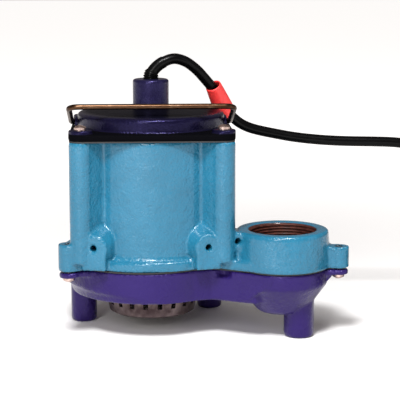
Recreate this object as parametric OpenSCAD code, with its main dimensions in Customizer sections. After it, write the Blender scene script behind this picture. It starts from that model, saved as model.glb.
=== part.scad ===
// Submersible sump pump: a cast motor housing with its own threaded outlet, a volute on three
// legs below it, a screwed cap with a wire bail on top, and the motor and impeller inside.
// Heights are above the floor. The motor axis is vertical, +X points from it to the outlet side
// and -Y to the front. Everything is drawn around the motor axis and moved at the end, so that
// the origin is the middle of the pump's footprint.

/* [Motor housing] */
// Height of the joint between the volute and the motor housing
joint_z = 51.5; // [49:0.5:54]
// Height of the motor housing above that joint
housing_h = 92.5; // [90:0.5:96]
// Outer radius of the motor barrel
barrel_r = 57.5; // [57:0.25:59]
// Bore radius of the barrel, which holds the stator
cavity_r = 51; // [50.5:0.25:51.5]
// Radius of each corner screw column
column_r = 8.4; // [8:0.1:9]
// Distance of a column from each of the two middle planes
column_off = 50.5; // [50:0.25:51.5]
// Thickness of the base flange of the housing
base_t = 7; // [6:0.5:9]
// Radius of the fillet between barrel and base flange
base_fillet = 3; // [2:0.5:4]
// Thickness of the deck between the motor and the pump chamber
deck_t = 13.5; // [13:0.5:15]

/* [Outlet] */
// Distance of the outlet axis to the right of the motor axis
outlet_x = 94; // [92:0.5:97]
// Distance of the outlet axis in front of the motor axis
outlet_front = 38; // [36:0.5:40]
// Height of the outlet face above the joint
outlet_h = 27; // [26:0.5:30]
// Radius of the outlet thread, one and a half inch pipe
outlet_thread_r = 24.1; // [23.5:0.1:25]
// Depth of the outlet thread
outlet_thread_l = 20; // [18:0.5:22]
// Radius of the water way under the thread
outlet_way_r = 20; // [18:0.5:21]
// Wall around the thread at the outlet face
outlet_wall = 9.3; // [8:0.1:10]
// Taper of the outlet wall from its face down to the base
outlet_draft = 1.6; // [1:0.1:2]

/* [Switch bosses and ears] */
// Distance of each front boss from the middle plane
boss_x = 41; // [39:0.5:42]
// Distance of the front boss faces in front of the motor axis
boss_front = 58.5; // [58:0.5:60]
// Radius of the flat face of a front boss
boss_face_r = 9.3; // [8.5:0.1:9.5]
// Radius of a front boss where it grows out of the barrel
boss_root_r = 15.5; // [14:0.5:16]
// Height of a front boss hole above the joint
boss_hole_h = 17.5; // [16:0.5:19]
// Distance by which both front bosses sit left of symmetry
boss_shift = 1.4; // [0:0.1:2]
// Angle by which each front boss is turned outwards
boss_turn = 12; // [8:1:15]
// Radius of the tapped holes in the bosses, for number ten screws
tap_r = 2.4; // [2:0.1:2.6]
// Depth of the tapped holes in the bosses
tap_l = 14; // [12:1:15]
// Radius of each screw ear
ear_r = 7.4; // [7.2:0.1:8]
// Height of the left ear above the joint
left_ear_h = 19.5; // [17:0.5:21]
// Height of the other ears above the joint
low_ear_h = 15.5; // [13:0.5:17]

/* [Cap] */
// Thickness of the cap gasket
gasket_t = 1; // [0.8:0.1:1.5]
// Thickness of the square cap flange
cap_flange_t = 4.5; // [4:0.25:6]
// Distance from the edge of the cap flange to the dome's wall
dome_inset = 4.9; // [4.4:0.1:5.4]
// Height of the cap dome wall above its flange
dome_h = 10.5; // [9:0.25:11]
// Rise of the crown above the dome wall
crown_h = 3; // [2.5:0.25:4]
// Radius of the rounded shoulder of the dome
shoulder_r = 2.5; // [2:0.25:3]
// Wall of the cap
cap_wall = 3.5; // [3:0.25:4]
// Height of each corner lug above the flange
lug_h = 3; // [2:0.25:3.5]

/* [Handle] */
// Diameter of the handle wire
wire_d = 4; // [3.5:0.1:4.4]
// Distance from the dome's wall to the middle of each handle leg
handle_side = 4.5; // [4.2:0.1:5]
// Distance from the pivot to the middle of the grip bar
handle_arm = 48; // [46:0.5:52]
// Bend radius of the handle wire at the grip corners
handle_bend = 7; // [5:0.5:9]
// Angle by which the handle leans forward from upright at rest
handle_lean = 71; // [65:1:74]
// Height of the handle pivot above the cap flange
pivot_h = 3; // [2.8:0.1:3.4]
// Radial clearance of the handle ends in their holes
pivot_gap = 0.08; // [0.05:0.01:0.1]

/* [Volute] */
// Radius of the volute at its tongue
volute_r0 = 58; // [57.5:0.25:59]
// Growth of the volute from the tongue to the outlet duct
volute_growth = 18; // [16:0.5:20]
// Growth of the water chamber from the tongue to the outlet duct
chamber_growth = 3; // [2:0.5:4]
// Height of the volute underside above the floor
volute_foot_z = 28; // [26:0.5:29]
// Floor thickness of the volute
volute_floor_t = 4; // [3.5:0.25:5]
// Wall thickness of the volute
volute_wall = 4; // [3.5:0.25:4.5]
// Radius of the water inlet in the volute floor
inlet_r = 17; // [16:0.5:18]
// Height of the underside of the outlet elbow above the floor
elbow_z = 18; // [16:0.5:20]
// Radius of the left and rear legs
leg_r = 9.7; // [9:0.1:10.5]
// Radius of the leg under the outlet
outlet_leg_r = 11; // [10:0.1:12]

/* [Impeller] */
// Outer radius of the impeller
impeller_r = 45; // [42:0.5:46]
// Number of impeller blades
blade_count = 6; // [4:1:8]
// Height of the impeller blades
blade_h = 11.5; // [10:0.5:12]
// Thickness of the impeller blades
blade_t = 2.6; // [2:0.1:3]
// Running gap between the blades and the volute floor
blade_gap = 1.5; // [1:0.25:3]

/* [Strainer] */
// Outer radius of the strainer rim
strainer_r = 41.5; // [40:0.5:42]
// Radius of the flat bottom of the strainer dish
strainer_bottom_r = 32; // [30:0.5:33]
// Depth of the strainer dish below the volute
strainer_depth = 17.5; // [15:0.5:18]
// Thickness of the strainer sheet
sheet_t = 1.5; // [1.2:0.1:2]
// Radius of the round strainer holes
strainer_hole_r = 2.2; // [1.8:0.1:2.6]

/* [Motor] */
// Radius of the motor shaft
shaft_r = 6; // [5.5:0.1:6.3]
// Space between the upper winding and the bearing bracket
lead_space = 3.5; // [2.5:0.5:6]
// Radius of the rotor
rotor_r = 26; // [25:0.5:27]
// Air gap between rotor and stator
air_gap = 0.4; // [0.3:0.1:0.6]
// Radial clearance of the shaft in its sleeve bearings
bearing_gap = 0.03; // [0.02:0.01:0.05]
// Outer radius of the sleeve bearings
bearing_r = 11; // [10.5:0.25:11.5]
// Length of the lower sleeve bearing
bearing_l = 14; // [12:0.5:15]
// Reach of the windings beyond each end of the stack
winding_h = 9; // [8:0.5:10]
// Thickness of the upper bearing bracket
bracket_t = 4; // [3.5:0.25:4.5]

/* [Cord] */
// Diameter of the supply cord
cord_d = 7.9; // [7.5:0.1:8.2]
// Diameter of the cord nut
nut_d = 26.5; // [25:0.5:28]
// Height of the cord nut
nut_h = 21; // [19:0.5:22]
// Radius of the strain relief where it leaves the nut
relief_r = 5.2; // [5:0.1:5.6]
// Bend radius of the strain relief just above the nut
relief_bend = 10; // [9:0.5:12]
// Wall of the plain red hood on the cord
hood_wall = 0.8; // [0.6:0.1:1]

/* [Screws] */
// Radius of the cap and volute screw shanks
screw_r = 2.2; // [2:0.1:2.4]
// Radius of the cap and volute screw heads
head_r = 4.3; // [4:0.1:4.6]
// Height of the screw heads
head_h = 3.4; // [3:0.1:3.8]

/* [Hidden] */

$fn = 64;
cut = 1;          // how far a cutting shape runs past the face that it cuts
seat_gap = 0.1;   // gap at a face that turns against a still one
web_inset = 0.3;  // how far a web's sides lie inside the post that it carries

// Heights of the housing
top_z = joint_z + housing_h;
base_z = joint_z + base_t;
deck_under_z = joint_z + 1.5;
deck_z = deck_under_z + deck_t;
outlet_z = joint_z + outlet_h;
outlet_y = -outlet_front;
outlet_r = outlet_thread_r + outlet_wall;
outlet_base_r = outlet_r + outlet_draft;
left_ear_z = joint_z + left_ear_h;
low_ear_z = joint_z + low_ear_h;
boss_z = joint_z + boss_hole_h;
boss_lift = 1.5;
side_boss_r = 6.5;
side_shelf_at = [60.5, -48];
side_boss_at = side_shelf_at + [0.3, -5.5];
side_boss_turn = -78;
side_boss_z = joint_z + boss_hole_h + 3.2;

// Screw places on the joint: left ear, outlet ear, two rear ears and the neck
ear_places = [[-60, -49], [134, -47], [-50, 60], [40, 70]];
neck_place = [53, -40.5];
ear_roots = [[-38, -36], [outlet_x, outlet_y], [-34, 40], [30, 45]];

// Motor stack
bearing_z = deck_z + 2;
hub_r = bearing_r + 6;
hub_z = bearing_z + bearing_l + 2;
washer_z = bearing_z + bearing_l;
washer_t = 1.5;
collar_z = washer_z + washer_t + seat_gap;
collar_h = 2.5;
stack_z = hub_z + 3;
stator_r = cavity_r - 0.1;
seat_ledge = 5;
winding_in_r = rotor_r + 4;
winding_out_r = cavity_r - seat_ledge - 2;
bracket_z = top_z - 3 - bracket_t;
stack_h = bracket_z - lead_space - winding_h - stack_z;
bracket_r = cavity_r + 2.3;
bracket_hub_r = bearing_r + 3;
upper_bearing_l = 11;
upper_bearing_z = bracket_z + bracket_t - 1 - upper_bearing_l;
cage_h = 3.5;
bolt_circle = cavity_r - 2.7;
bolt_r = 1.9;
bolt_reach = 8;
window_r = 5;
window_circle = (winding_in_r + winding_out_r) / 2;
leads = 3;
lead_r = 1.1;
lead_off = 1.8;

// Shaft seal and impeller
seal_chamber_r = 15;
seal_seat_t = 5;
seal_seat_z = deck_z - 2 - seal_seat_t;
seal_seat_r = 13;
shaft_hole_r = shaft_r + 2;
shroud_t = 3;
volute_top_z = joint_z - gasket_t;
chamber_floor_z = volute_foot_z + volute_floor_t;
blade_z = chamber_floor_z + blade_gap + 2;
shroud_z = blade_z + blade_h;
hub_top_z = shroud_z + shroud_t + 1;
impeller_hub_r = 10;
chamber_gap = 3;   // least room round the rim of the impeller
nut_across = 13;
impeller_nut_h = 5;
ear_t = 4;
shaft_end_z = blade_z - impeller_nut_h - 1.5;
thread_r = shaft_r - 1.5;

// Cap
gasket_z = top_z;
cap_z = top_z + gasket_t;
flange_z = cap_z + cap_flange_t;
lug_z = flange_z + lug_h;
wall_z = flange_z + dome_h;
crown_z = wall_z + crown_h;
pad_r = nut_d / 2 + 1.5;
dome_r = column_off + column_r - dome_inset;
handle_w = 2 * (dome_r + handle_side);
crown_r = (dome_r * dome_r + crown_h * crown_h) / (2 * crown_h);
pivot_z = flange_z + pivot_h;
pivot_boss_r = 4.4;
pivot_boss_x = dome_r + 2;
pin_in_x = pivot_boss_x - 4.6;
wire_r = wire_d / 2;
leg_bend = 3;

// Volute
tongue_turn = -60;
duct_turn = -304;
duct_edge_turn = 35;
facet_turn = -109;
facet_r = outlet_r + 0.6;
neck = [42.5, -46.5];
elbow_r = outlet_r - 0.4;
elbow_foot_r = 19;
neck_seat_z = volute_foot_z + 14;
leg_left = [-51.5, 10];
leg_rear = [46, 46];
leg_outlet = [106, -44];
spiral_steps = 40;

// Footprint of the pump, whose middle is the origin
flange_reach = 0.4;
left_x = min(
    ear_places[0].x - ear_r, min([for (p = spiral_points(volute_growth, flange_reach)) p.x]));
right_x = ear_places[1].x + ear_r;
front_y = outlet_y - outlet_base_r;
rear_y = ear_places[3].y + ear_r;
origin_x = (left_x + right_x) / 2;
origin_y = (front_y + rear_y) / 2;

// Strainer
strainer_z = volute_foot_z - strainer_depth;
dish_top_r = strainer_r - 6.5;
strainer_screw_circle = strainer_r - 3.2;

// Cord
nut_z = crown_z;
nut_top_z = nut_z + nut_h;
relief_in = 12;
relief_swing = 8;
relief_tip_r = cord_d / 2 + 0.4;
cord_r = cord_d / 2;
tube_sides = 8;
coil_sides = 6;

// The strain relief leans over in a tight arc just above the nut and then in the cord's own arc,
// and the angle is measured from upright
arch_bend = 22;
lean_change = 40;
lean_tip = 65;
relief_arc_z = nut_top_z;
function arc_point(from, from_lean, bend, lean) =
    from + bend * [cos(from_lean) - cos(lean), sin(lean) - sin(from_lean)];
function relief_point(lean) =
    let (first = arc_point([0, relief_arc_z], 0, relief_bend, min(lean, lean_change)),
         p = lean > lean_change ? arc_point(first, lean_change, arch_bend, lean) : first)
    [p.x * cos(relief_swing), p.x * sin(relief_swing), p.y];
relief_tip = relief_point(lean_tip);

// Coil of the cord: four layers of turns that spiral in and out again
coil_mid_r = 47.5;
coil_layers = 4;
layer_turns = 2.1875;
coil_pitch = cord_d + 0.5;
tie_t = 0.8;
tie_w = 8;
tie_gap = 0.15;
coil_z = tie_t + tie_gap + cord_r;
coil_out_r = coil_mid_r + layer_turns * coil_pitch / 2;
coil_top_z = coil_z + (coil_layers - 1) * coil_pitch;
coil_at = [282, 35 - coil_out_r];
coil_turns = coil_layers * layer_turns;
coil_rings = 24;
function saw(t) = abs((t / layer_turns) - 2 * round(t / layer_turns / 2));
function climb(t) =
    let (near = round(t / layer_turns), off = t - near * layer_turns)
    near < 1 || near > coil_layers - 1 ? floor(t / layer_turns - 0.0001)
    : abs(off) < 0.25 ? near - 1 + (off + 0.25) / 0.5
    : off < 0 ? near - 1 : near;
function coil_point(t) =
    let (r = coil_out_r - saw(t) * layer_turns * coil_pitch, a = 90 - 360 * t,
         level = min(coil_layers - 1, max(0, climb(t))))
    [coil_at.x + r * cos(a), coil_at.y + r * sin(a), coil_top_z - level * coil_pitch];
coil_steps = coil_turns * coil_rings;
coil_start = coil_point(0) - [cord_d, 0, 0];
coil_end = coil_point(coil_turns) + [0, cord_d, 0];
coil_path = concat(
    [coil_start],
    [for (i = [0 : coil_steps]) coil_point(i / coil_rings)],
    [coil_end]);

// Route of the cord from the tip of the strain relief, over the edge of the cap and away to the
// right, down to the floor and into the top layer of its coil
lead_way = [sin(lean_tip) * cos(relief_swing), sin(lean_tip) * sin(relief_swing), cos(lean_tip)];
lead_points = [
    relief_tip + seat_gap * lead_way, relief_tip + 1.3 * lead_way, [14.5, 2, 198],
    [19.5, 3.2, 198.2], [26, 5.8, 195.9], [31.5, 9.2, 192], [36, 12.5, 187.8], [39.5, 15.5, 183.8],
    [43, 18.5, 179.7], [46.5, 21.5, 175.5], [50, 24.5, 170.5], [53.3, 27.5, 165.2], [56.5, 30, 160],
    [60, 31.8, 155], [64, 33, 150.6], [68.5, 33.7, 147], [73.5, 34, 144.3], [79, 34.3, 142.3],
    [86, 34.6, 140.5], [96, 34.9, 138.4], [107.5, 35, 136.2], [119, 35, 134.6], [131, 35, 133.4],
    [143, 35, 132.6], [156, 35, 132.1], [170, 35, 131.8], [183, 35, 131.4], [192, 35, 130.7],
    [201, 35, 129.2], [209.5, 35, 125.7], [216.5, 35, 120.2], [222, 35, 113.2], [226, 35, 104.7],
    [229, 35, 92.5], [232.5, 35, 80], [235.5, 35, 68], [239, 35, 56.5], [242.5, 35, 48],
    [248, 35, 40.5], [255.5, 35, 35], [264, 35, 31.5], coil_start
];
hood_top = [47.3, 20.8, 176.8];
hood_bottom = [57.4, 33, 155];
hood_top_r = 6;
hood_bottom_r = 8;

// Tail of the cord from the bottom of the coil to the plug
plug_axis_z = 13;
tail_points = [
    coil_end, coil_end + [0, 8, 0.4], coil_end + [0, 15, 1.8], coil_end + [0, 22, 4],
    coil_end + [0, 29, 6.4], [coil_end.x, coil_end.y + 36, plug_axis_z - 0.3],
    [coil_end.x, coil_end.y + 43, plug_axis_z],
];
plug_at = tail_points[len(tail_points) - 1];

// Straight distance along a list of points
function run_length(p) =
    let (steps = [for (i = [0 : len(p) - 2]) norm(p[i + 1] - p[i])])
    steps * [for (step = steps) 1];
free_length = run_length(lead_points) + run_length(coil_path) + run_length(tail_points);
least_gap = min([for (i = [0 : 2 : len(coil_path) - 1]) for (j = [i + 10 : len(coil_path) - 1])
    norm(coil_path[i] - coil_path[j])]) - cord_d;
echo(free_length_mm = free_length, least_gap_in_coil_mm = least_gap);

// ---------- shared shapes ----------

// Moves the pump so that the middle of its footprint is the origin
module place() {
    translate([-origin_x, -origin_y, 0])
        children();
}

// Closed tube along points, with one radius per point; the sides are set from a fixed direction
function unit(v) = v / norm(v);
function heading(p, i) = unit(p[min(i + 1, len(p) - 1)] - p[max(i - 1, 0)]);
function ring(p, i, r, sides, ref, phase) =
    let (t = heading(p, i), u = unit(cross(ref, t)), v = cross(t, u))
    [for (k = [0 : sides - 1])
        let (a = 360 * (k + phase) / sides)
        p[i] + r[i] * (cos(a) * u + sin(a) * v)];
module tube(p, r, sides, ref, phase = 0.5) {
    n = len(p);
    points = [for (i = [0 : n - 1]) each ring(p, i, r, sides, ref, phase)];
    walls = [for (i = [0 : n - 2]) for (k = [0 : sides - 1])
        let (a = i * sides + k, b = i * sides + (k + 1) % sides)
        each [[a, a + sides, b], [b, a + sides, b + sides]]];
    start_cap = [for (k = [1 : sides - 2]) [0, k, k + 1]];
    end_cap = [for (k = [1 : sides - 2]) (n - 1) * sides * [1, 1, 1] + [0, k + 1, k]];
    polyhedron(points, concat(start_cap, walls, end_cap), convexity = 8);
}
function same(n, value) = [for (i = [0 : n - 1]) value];

// Puts its children at the four corner columns
module at_corners() {
    for (sx = [-1, 1])
        for (sy = [-1, 1])
            translate([sx * column_off, sy * column_off, 0])
                children();
}

// Round post with flat top
module post(at, r, from_z, to_z) {
    translate([at.x, at.y, from_z])
        cylinder(r = r, h = to_z - from_z);
}

// Straight web as wide as a post, from a root to the post
module web(root, at, r, from_z, to_z) {
    run = at - root;
    translate([root.x, root.y, from_z])
        rotate([0, 0, atan2(run.y, run.x)])
            translate([0, -r, 0])
                cube([norm(run), 2 * r, to_z - from_z]);
}

// Post with a straight web back to a root, as one extruded outline; the web is a little narrower
module ear(root, at, r, from_z, to_z) {
    run = at - root;
    half = r - web_inset;
    translate([0, 0, from_z])
        linear_extrude(to_z - from_z) {
            translate(at)
                circle(r);
            translate(root)
                rotate(atan2(run.y, run.x))
                    translate([0, -half])
                        square([norm(run), 2 * half]);
        }
}

// Outline of the pump chamber: a spiral that grows clockwise from the tongue to the outlet duct,
// then the duct's side, a point inside the outlet, the duct's front and the neck
function spiral_point(turn, growth, grow) =
    let (share = (tongue_turn - turn) / (tongue_turn - duct_turn))
    (volute_r0 + growth * share + grow) * [cos(turn), sin(turn)];
function spiral_points(growth, grow) =
    [for (i = [0 : spiral_steps])
        spiral_point(tongue_turn + (duct_turn - tongue_turn) * i / spiral_steps, growth, grow)];
function outlet_point(turn, r) = [outlet_x, outlet_y] + r * [cos(turn), sin(turn)];
function pump_points(growth, grow, outlet_grow) = concat(
    spiral_points(growth, grow),
    [outlet_point(duct_edge_turn, outlet_r + outlet_grow), outlet_point(-50, 10),
     outlet_point(facet_turn - 24, outlet_r + outlet_grow), neck + grow * [0.3, -1]]);

// ---------- motor housing ----------

// Puts its children at the hole of a front boss, with the outward direction along +Z
module at_front_boss(side) {
    translate([side * boss_x - boss_shift, -boss_front, boss_z])
        rotate([90, 0, side * boss_turn])
            children();
}

// Front boss: a cone that widens into the barrel, on a block that reaches down to the flange
module front_boss(side) {
    depth = 13;
    foot = boss_z - joint_z - boss_lift;
    half = boss_face_r - 0.4;
    at_front_boss(side) {
        translate([0, 0, -depth])
            cylinder(r1 = boss_root_r, r2 = boss_face_r, h = depth);
        translate([-half, -foot, -depth - 7])
            cube([2 * half, foot, depth + 7]);
    }
}

// Side boss between the front right column and the outlet, on a shelf with a sloping gusset
module side_boss() {
    translate([side_boss_at.x, side_boss_at.y, side_boss_z])
        rotate([0, 90, side_boss_turn])
            translate([0, 0, -16])
                cylinder(r = side_boss_r, h = 16);
    web([44, -30], side_shelf_at, side_boss_r, joint_z, side_boss_z - side_boss_r + 2);
}

module gusset() {
    translate([side_shelf_at.x + 1, side_shelf_at.y + 3, 0])
        rotate([0, 0, -22])
            rotate([90, 0, 0])
                translate([0, 0, -5])
                    linear_extrude(10)
                        polygon([[-8, base_z - 1], [20, base_z - 1], [2, side_boss_z - side_boss_r + 2],
                                 [-8, side_boss_z - side_boss_r + 2]]);
}

module side_boss_hole() {
    translate([side_boss_at.x, side_boss_at.y, side_boss_z])
        rotate([0, 90, side_boss_turn])
            translate([0, 0, -tap_l])
                cylinder(r = tap_r, h = tap_l + cut);
}

// Tapered wall around the outlet thread, with a rounded lip
module outlet_wall_shape() {
    lip = 2;
    translate([outlet_x, outlet_y, 0])
        rotate_extrude() {
            polygon([[0, joint_z], [outlet_base_r, joint_z], [outlet_base_r, joint_z + 5],
                     [outlet_r, outlet_z - lip], [0, outlet_z - lip]]);
            translate([0, outlet_z - lip - 1])
                square([outlet_r - lip, lip + 1]);
            translate([outlet_r - lip, outlet_z - lip])
                circle(lip);
        }
}

module housing_body() {
    // barrel and screw columns, which stand on the base flange
    translate([0, 0, base_z - 1])
        linear_extrude(top_z - base_z + 1) {
            circle(barrel_r);
            for (turn = [45 : 90 : 315])
                rotate(turn) {
                    translate([column_off * sqrt(2), 0])
                        circle(column_r);
                    translate([barrel_r - 15, web_inset - column_r])
                        square([column_off * sqrt(2) - barrel_r + 15, 2 * (column_r - web_inset)]);
                }
        }
    translate([0, 0, joint_z])
        linear_extrude(base_t) {
            polygon(pump_points(volute_growth, flange_reach, outlet_draft));
            circle(barrel_r + base_fillet);
        }
    rotate_extrude()
        difference() {
            translate([barrel_r - 1, base_z])
                square([base_fillet + 1, base_fillet]);
            translate([barrel_r + base_fillet, base_z + base_fillet])
                circle(base_fillet);
        }
    outlet_wall_shape();
    // web between the barrel and the outlet
    translate([0, 0, base_z - 1])
        linear_extrude(outlet_h - base_t - 8)
            polygon([[30, -20], neck + [3, 4], outlet_point(facet_turn - 24, outlet_r - 3),
                     outlet_point(duct_edge_turn + 60, outlet_r - 3), [40, 30]]);
    for (side = [-1, 1])
        front_boss(side);
    side_boss();
    gusset();
    for (i = [0 : 3]) {
        ear_top = i == 0 ? left_ear_z : low_ear_z;
        ear(ear_roots[i], ear_places[i], ear_r, joint_z, ear_top);
    }
}

module motor_housing() {
    color("#4f9fc6")
        place()
            difference() {
                housing_body();
                // motor cavity, stator seat and bracket seat
                post([0, 0], cavity_r - seat_ledge, deck_z, top_z + cut);
                post([0, 0], cavity_r, stack_z, top_z + cut);
                post([0, 0], bracket_r, bracket_z, top_z + cut);
                // pump chamber, shaft seal and shaft
                post([0, 0], impeller_r + chamber_gap, joint_z - cut, deck_under_z);
                post([0, 0], seal_chamber_r, joint_z, seal_seat_z);
                post([0, 0], seal_seat_r, joint_z, seal_seat_z + seal_seat_t);
                post([0, 0], shaft_hole_r, joint_z, deck_z + cut);
                // outlet thread, its mouth and the water way
                post([outlet_x, outlet_y], outlet_way_r, joint_z - cut, outlet_z);
                post([outlet_x, outlet_y], outlet_thread_r, outlet_z - outlet_thread_l, outlet_z + cut);
                translate([outlet_x, outlet_y, outlet_z - 1])
                    cylinder(r1 = outlet_thread_r, r2 = outlet_thread_r + 1.5, h = 1.5);
                // screw holes
                at_corners()
                    translate([0, 0, top_z - 20])
                        cylinder(r = screw_r, h = 20 + cut);
                for (i = [0 : 3])
                    post(ear_places[i], screw_r, joint_z - cut, low_ear_z + left_ear_h);
                post(neck_place, screw_r, joint_z - cut, joint_z + 14);
                for (i = [0 : 3])
                    rotate([0, 0, 90 * i])
                        post([0, bolt_circle], bolt_r, stack_z - bolt_reach, stack_z + cut);
                for (side = [-1, 1])
                    at_front_boss(side)
                        translate([0, 0, -tap_l])
                            cylinder(r = tap_r, h = tap_l + cut);
                side_boss_hole();
            }
    // lower bearing hub, which stands on the deck
    color("#4f9fc6")
        place()
            difference() {
                post([0, 0], hub_r, deck_z - 1, hub_z);
                post([0, 0], bearing_r, bearing_z, hub_z + cut);
                post([0, 0], shaft_hole_r, deck_z - 2, hub_z);
            }
}

// ---------- cap ----------

// Rounded square that covers the four columns
module cap_square(r) {
    square([2 * column_off, 2 * (column_off + r)], center = true);
    square([2 * (column_off + r), 2 * column_off], center = true);
    for (sx = [-1, 1])
        for (sy = [-1, 1])
            translate([sx, sy] * column_off)
                circle(r);
}

module cap_body() {
    translate([0, 0, cap_z])
        linear_extrude(cap_flange_t)
            cap_square(column_r);
    at_corners()
        translate([0, 0, cap_z])
            cylinder(r = column_r, h = cap_flange_t + lug_h);
    // dome wall with a rounded shoulder, and a shallow crown
    rotate_extrude() {
        translate([0, flange_z - 1])
            square([dome_r, dome_h + 1 - shoulder_r]);
        square_top = wall_z - shoulder_r - 1;
        translate([0, square_top])
            square([dome_r - shoulder_r, shoulder_r + 1]);
        translate([dome_r - shoulder_r, wall_z - shoulder_r])
            circle(shoulder_r);
    }
    intersection() {
        translate([0, 0, crown_z - crown_r])
            sphere(crown_r, $fn = 256);
        post([0, 0], dome_r - shoulder_r, wall_z - shoulder_r, crown_z + cut);
    }
    post([0, 0], pad_r, wall_z, crown_z);
    for (side = [0, 180])
        rotate([0, 0, side])
            translate([dome_r - cap_wall, 0, pivot_z])
                rotate([0, 90, 0])
                    cylinder(r = pivot_boss_r, h = pivot_boss_x - dome_r + cap_wall);
}

module cap() {
    color("#28235a")
        place()
            difference() {
                cap_body();
                post([0, 0], dome_r - cap_wall, cap_z - cut, wall_z - cap_wall);
                post([0, 0], nut_spigot_r, cap_z, crown_z + cut);
                at_corners()
                    translate([0, 0, cap_z - cut])
                        cylinder(r = screw_r + 0.4, h = cap_flange_t + lug_h + 2 * cut);
                for (side = [0, 180])
                    rotate([0, 0, side])
                        translate([pin_in_x - 0.3, 0, pivot_z])
                            rotate([0, 90, 0])
                                cylinder(r = wire_r + pivot_gap, h = 10);
            }
}

module cap_gasket() {
    color("#111114")
        place()
            translate([0, 0, gasket_z])
                linear_extrude(gasket_t)
                    difference() {
                        cap_square(column_r - 0.4);
                        circle(bracket_r);
                        for (sx = [-1, 1])
                            for (sy = [-1, 1])
                                translate([sx, sy] * column_off)
                                    circle(screw_r + 0.4);
                    }
}

// Round slotted head on a plain shank, standing on the XY plane
module screw(shank_l) {
    difference() {
        intersection() {
            cylinder(r = head_r, h = head_h);
            translate([0, 0, head_h - 6.2])
                sphere(6.2);
        }
        translate([-head_r, -0.55, head_h - 1.3])
            cube([2 * head_r, 1.1, 2]);
    }
    translate([0, 0, -shank_l])
        cylinder(r = screw_r, h = shank_l + 0.5);
}

module cap_screws() {
    color("#b99c93")
        place()
            at_corners()
                translate([0, 0, lug_z])
                    screw(lug_z - top_z + 16);
}

// ---------- handle ----------

// Quarter bend of the handle wire in the XZ plane, from +X to +Z
module wire_bend(r) {
    rotate([90, 0, 0])
        rotate_extrude(angle = 90)
            translate([r, 0])
                circle(wire_r);
}

// Half of the upright handle: pin, lower bend, leg, upper bend and half of the bar
module handle_half() {
    half = handle_w / 2;
    translate([pin_in_x, 0, 0])
        rotate([0, 90, 0])
            cylinder(r = wire_r, h = half - leg_bend - pin_in_x);
    translate([half - leg_bend, 0, leg_bend])
        rotate([0, 90, 0])
            wire_bend(leg_bend);
    translate([half, 0, leg_bend])
        cylinder(r = wire_r, h = handle_arm - handle_bend - leg_bend);
    translate([half - handle_bend, 0, handle_arm - handle_bend])
        wire_bend(handle_bend);
    rotate([0, 90, 0])
        translate([-handle_arm, 0, -0.01])
            cylinder(r = wire_r, h = half - handle_bend + 0.01);
}

module handle() {
    color("#b08a5c")
        place()
            translate([0, 0, pivot_z])
                rotate([handle_lean, 0, 0]) {
                    handle_half();
                    mirror([1, 0, 0])
                        handle_half();
                }
}

// ---------- cord nut, strain relief and cord ----------

nut_spigot_r = 8;
nut_bore_z = nut_top_z - relief_in;
lead_bore_r = 3.5;

module cord_nut() {
    edge = 2;
    color("#2b2462")
        place()
            difference() {
                union() {
                    post([0, 0], nut_spigot_r, wall_z - cap_wall - 2, nut_z + 1);
                    rotate_extrude() {
                        translate([0, nut_z])
                            square([nut_d / 2, nut_h - edge]);
                        translate([0, nut_z + 1])
                            square([nut_d / 2 - edge, nut_h - 1]);
                        translate([nut_d / 2 - edge, nut_top_z - edge])
                            circle(edge);
                    }
                }
                post([0, 0], relief_r + 0.1, nut_bore_z, nut_top_z + cut);
                post([0, 0], lead_bore_r, cap_z, nut_top_z);
            }
}

module strain_relief() {
    steps = 10;
    leans = [for (i = [0 : steps]) lean_tip * i / steps];
    path = concat([[0, 0, nut_bore_z]], [for (lean = leans) relief_point(lean)]);
    radii = concat(
        [relief_r],
        [for (lean = leans) relief_r + (relief_tip_r - relief_r) * max(0, lean - 30) / (lean_tip - 30)]);
    color("#17171a")
        place()
            tube(path, radii, 16, [0, 1, 0]);
}

module cord_lead() {
    color("#141416")
        place()
            tube(lead_points, same(len(lead_points), cord_r), tube_sides, [0, 1, 0]);
}

// Plain hood that hangs loose on the cord, wider at its lower end
module cord_hood() {
    run = hood_bottom - hood_top;
    length = norm(run);
    color("#e33a3c")
        place()
            translate(hood_top)
                rotate([0, acos(run.z / length), atan2(run.y, run.x)])
                    rotate_extrude()
                        polygon([[hood_top_r - hood_wall, 0], [hood_top_r - 0.3, 0], [hood_top_r, 1.5],
                                 [hood_bottom_r, length], [hood_bottom_r - hood_wall, length]]);
}

module cord_coil() {
    color("#141416")
        place()
            tube(coil_path, same(len(coil_path), cord_r), coil_sides, [0, 0, 1], 0);
}

module cord_tail() {
    color("#141416")
        place()
            tube(tail_points, same(len(tail_points), cord_r), tube_sides, [0, 0, 1]);
}

// Flat band around the turns of the coil
module coil_tie() {
    reach = cord_r + tie_gap;
    inner_w = layer_turns * coil_pitch + 2 * reach;
    inner_h = (coil_layers - 1) * coil_pitch + 2 * reach;
    color("#2a2a2e")
        place()
            translate([coil_at.x + coil_mid_r, coil_at.y, tie_t + inner_h / 2])
                rotate([90, 0, 0])
                    translate([0, 0, -tie_w / 2])
                        linear_extrude(tie_w)
                            difference() {
                                square([inner_w + 2 * tie_t, inner_h + 2 * tie_t], center = true);
                                square([inner_w, inner_h], center = true);
                            }
}

// Straight three pin plug, which lies on its side on the floor
plug_grip_l = 20;
plug_body_l = 22;
plug_r = 13;
plug_face_y = plug_at.y + plug_grip_l + plug_body_l;
pin_depth = 6;

module plug_body() {
    color("#18181b")
        place()
            difference() {
                union() {
                    translate([plug_at.x, plug_at.y, plug_axis_z])
                        rotate([-90, 0, 0])
                            rotate_extrude()
                                polygon([[0, 0], [cord_r + 1.4, 0], [cord_r + 1.8, 8], [9, plug_grip_l - 2],
                                         [plug_r, plug_grip_l + 3], [plug_r, plug_grip_l + plug_body_l - 2],
                                         [plug_r - 2, plug_grip_l + plug_body_l],
                                         [0, plug_grip_l + plug_body_l]]);
                }
                plug_pin_shapes();
            }
}

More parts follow.
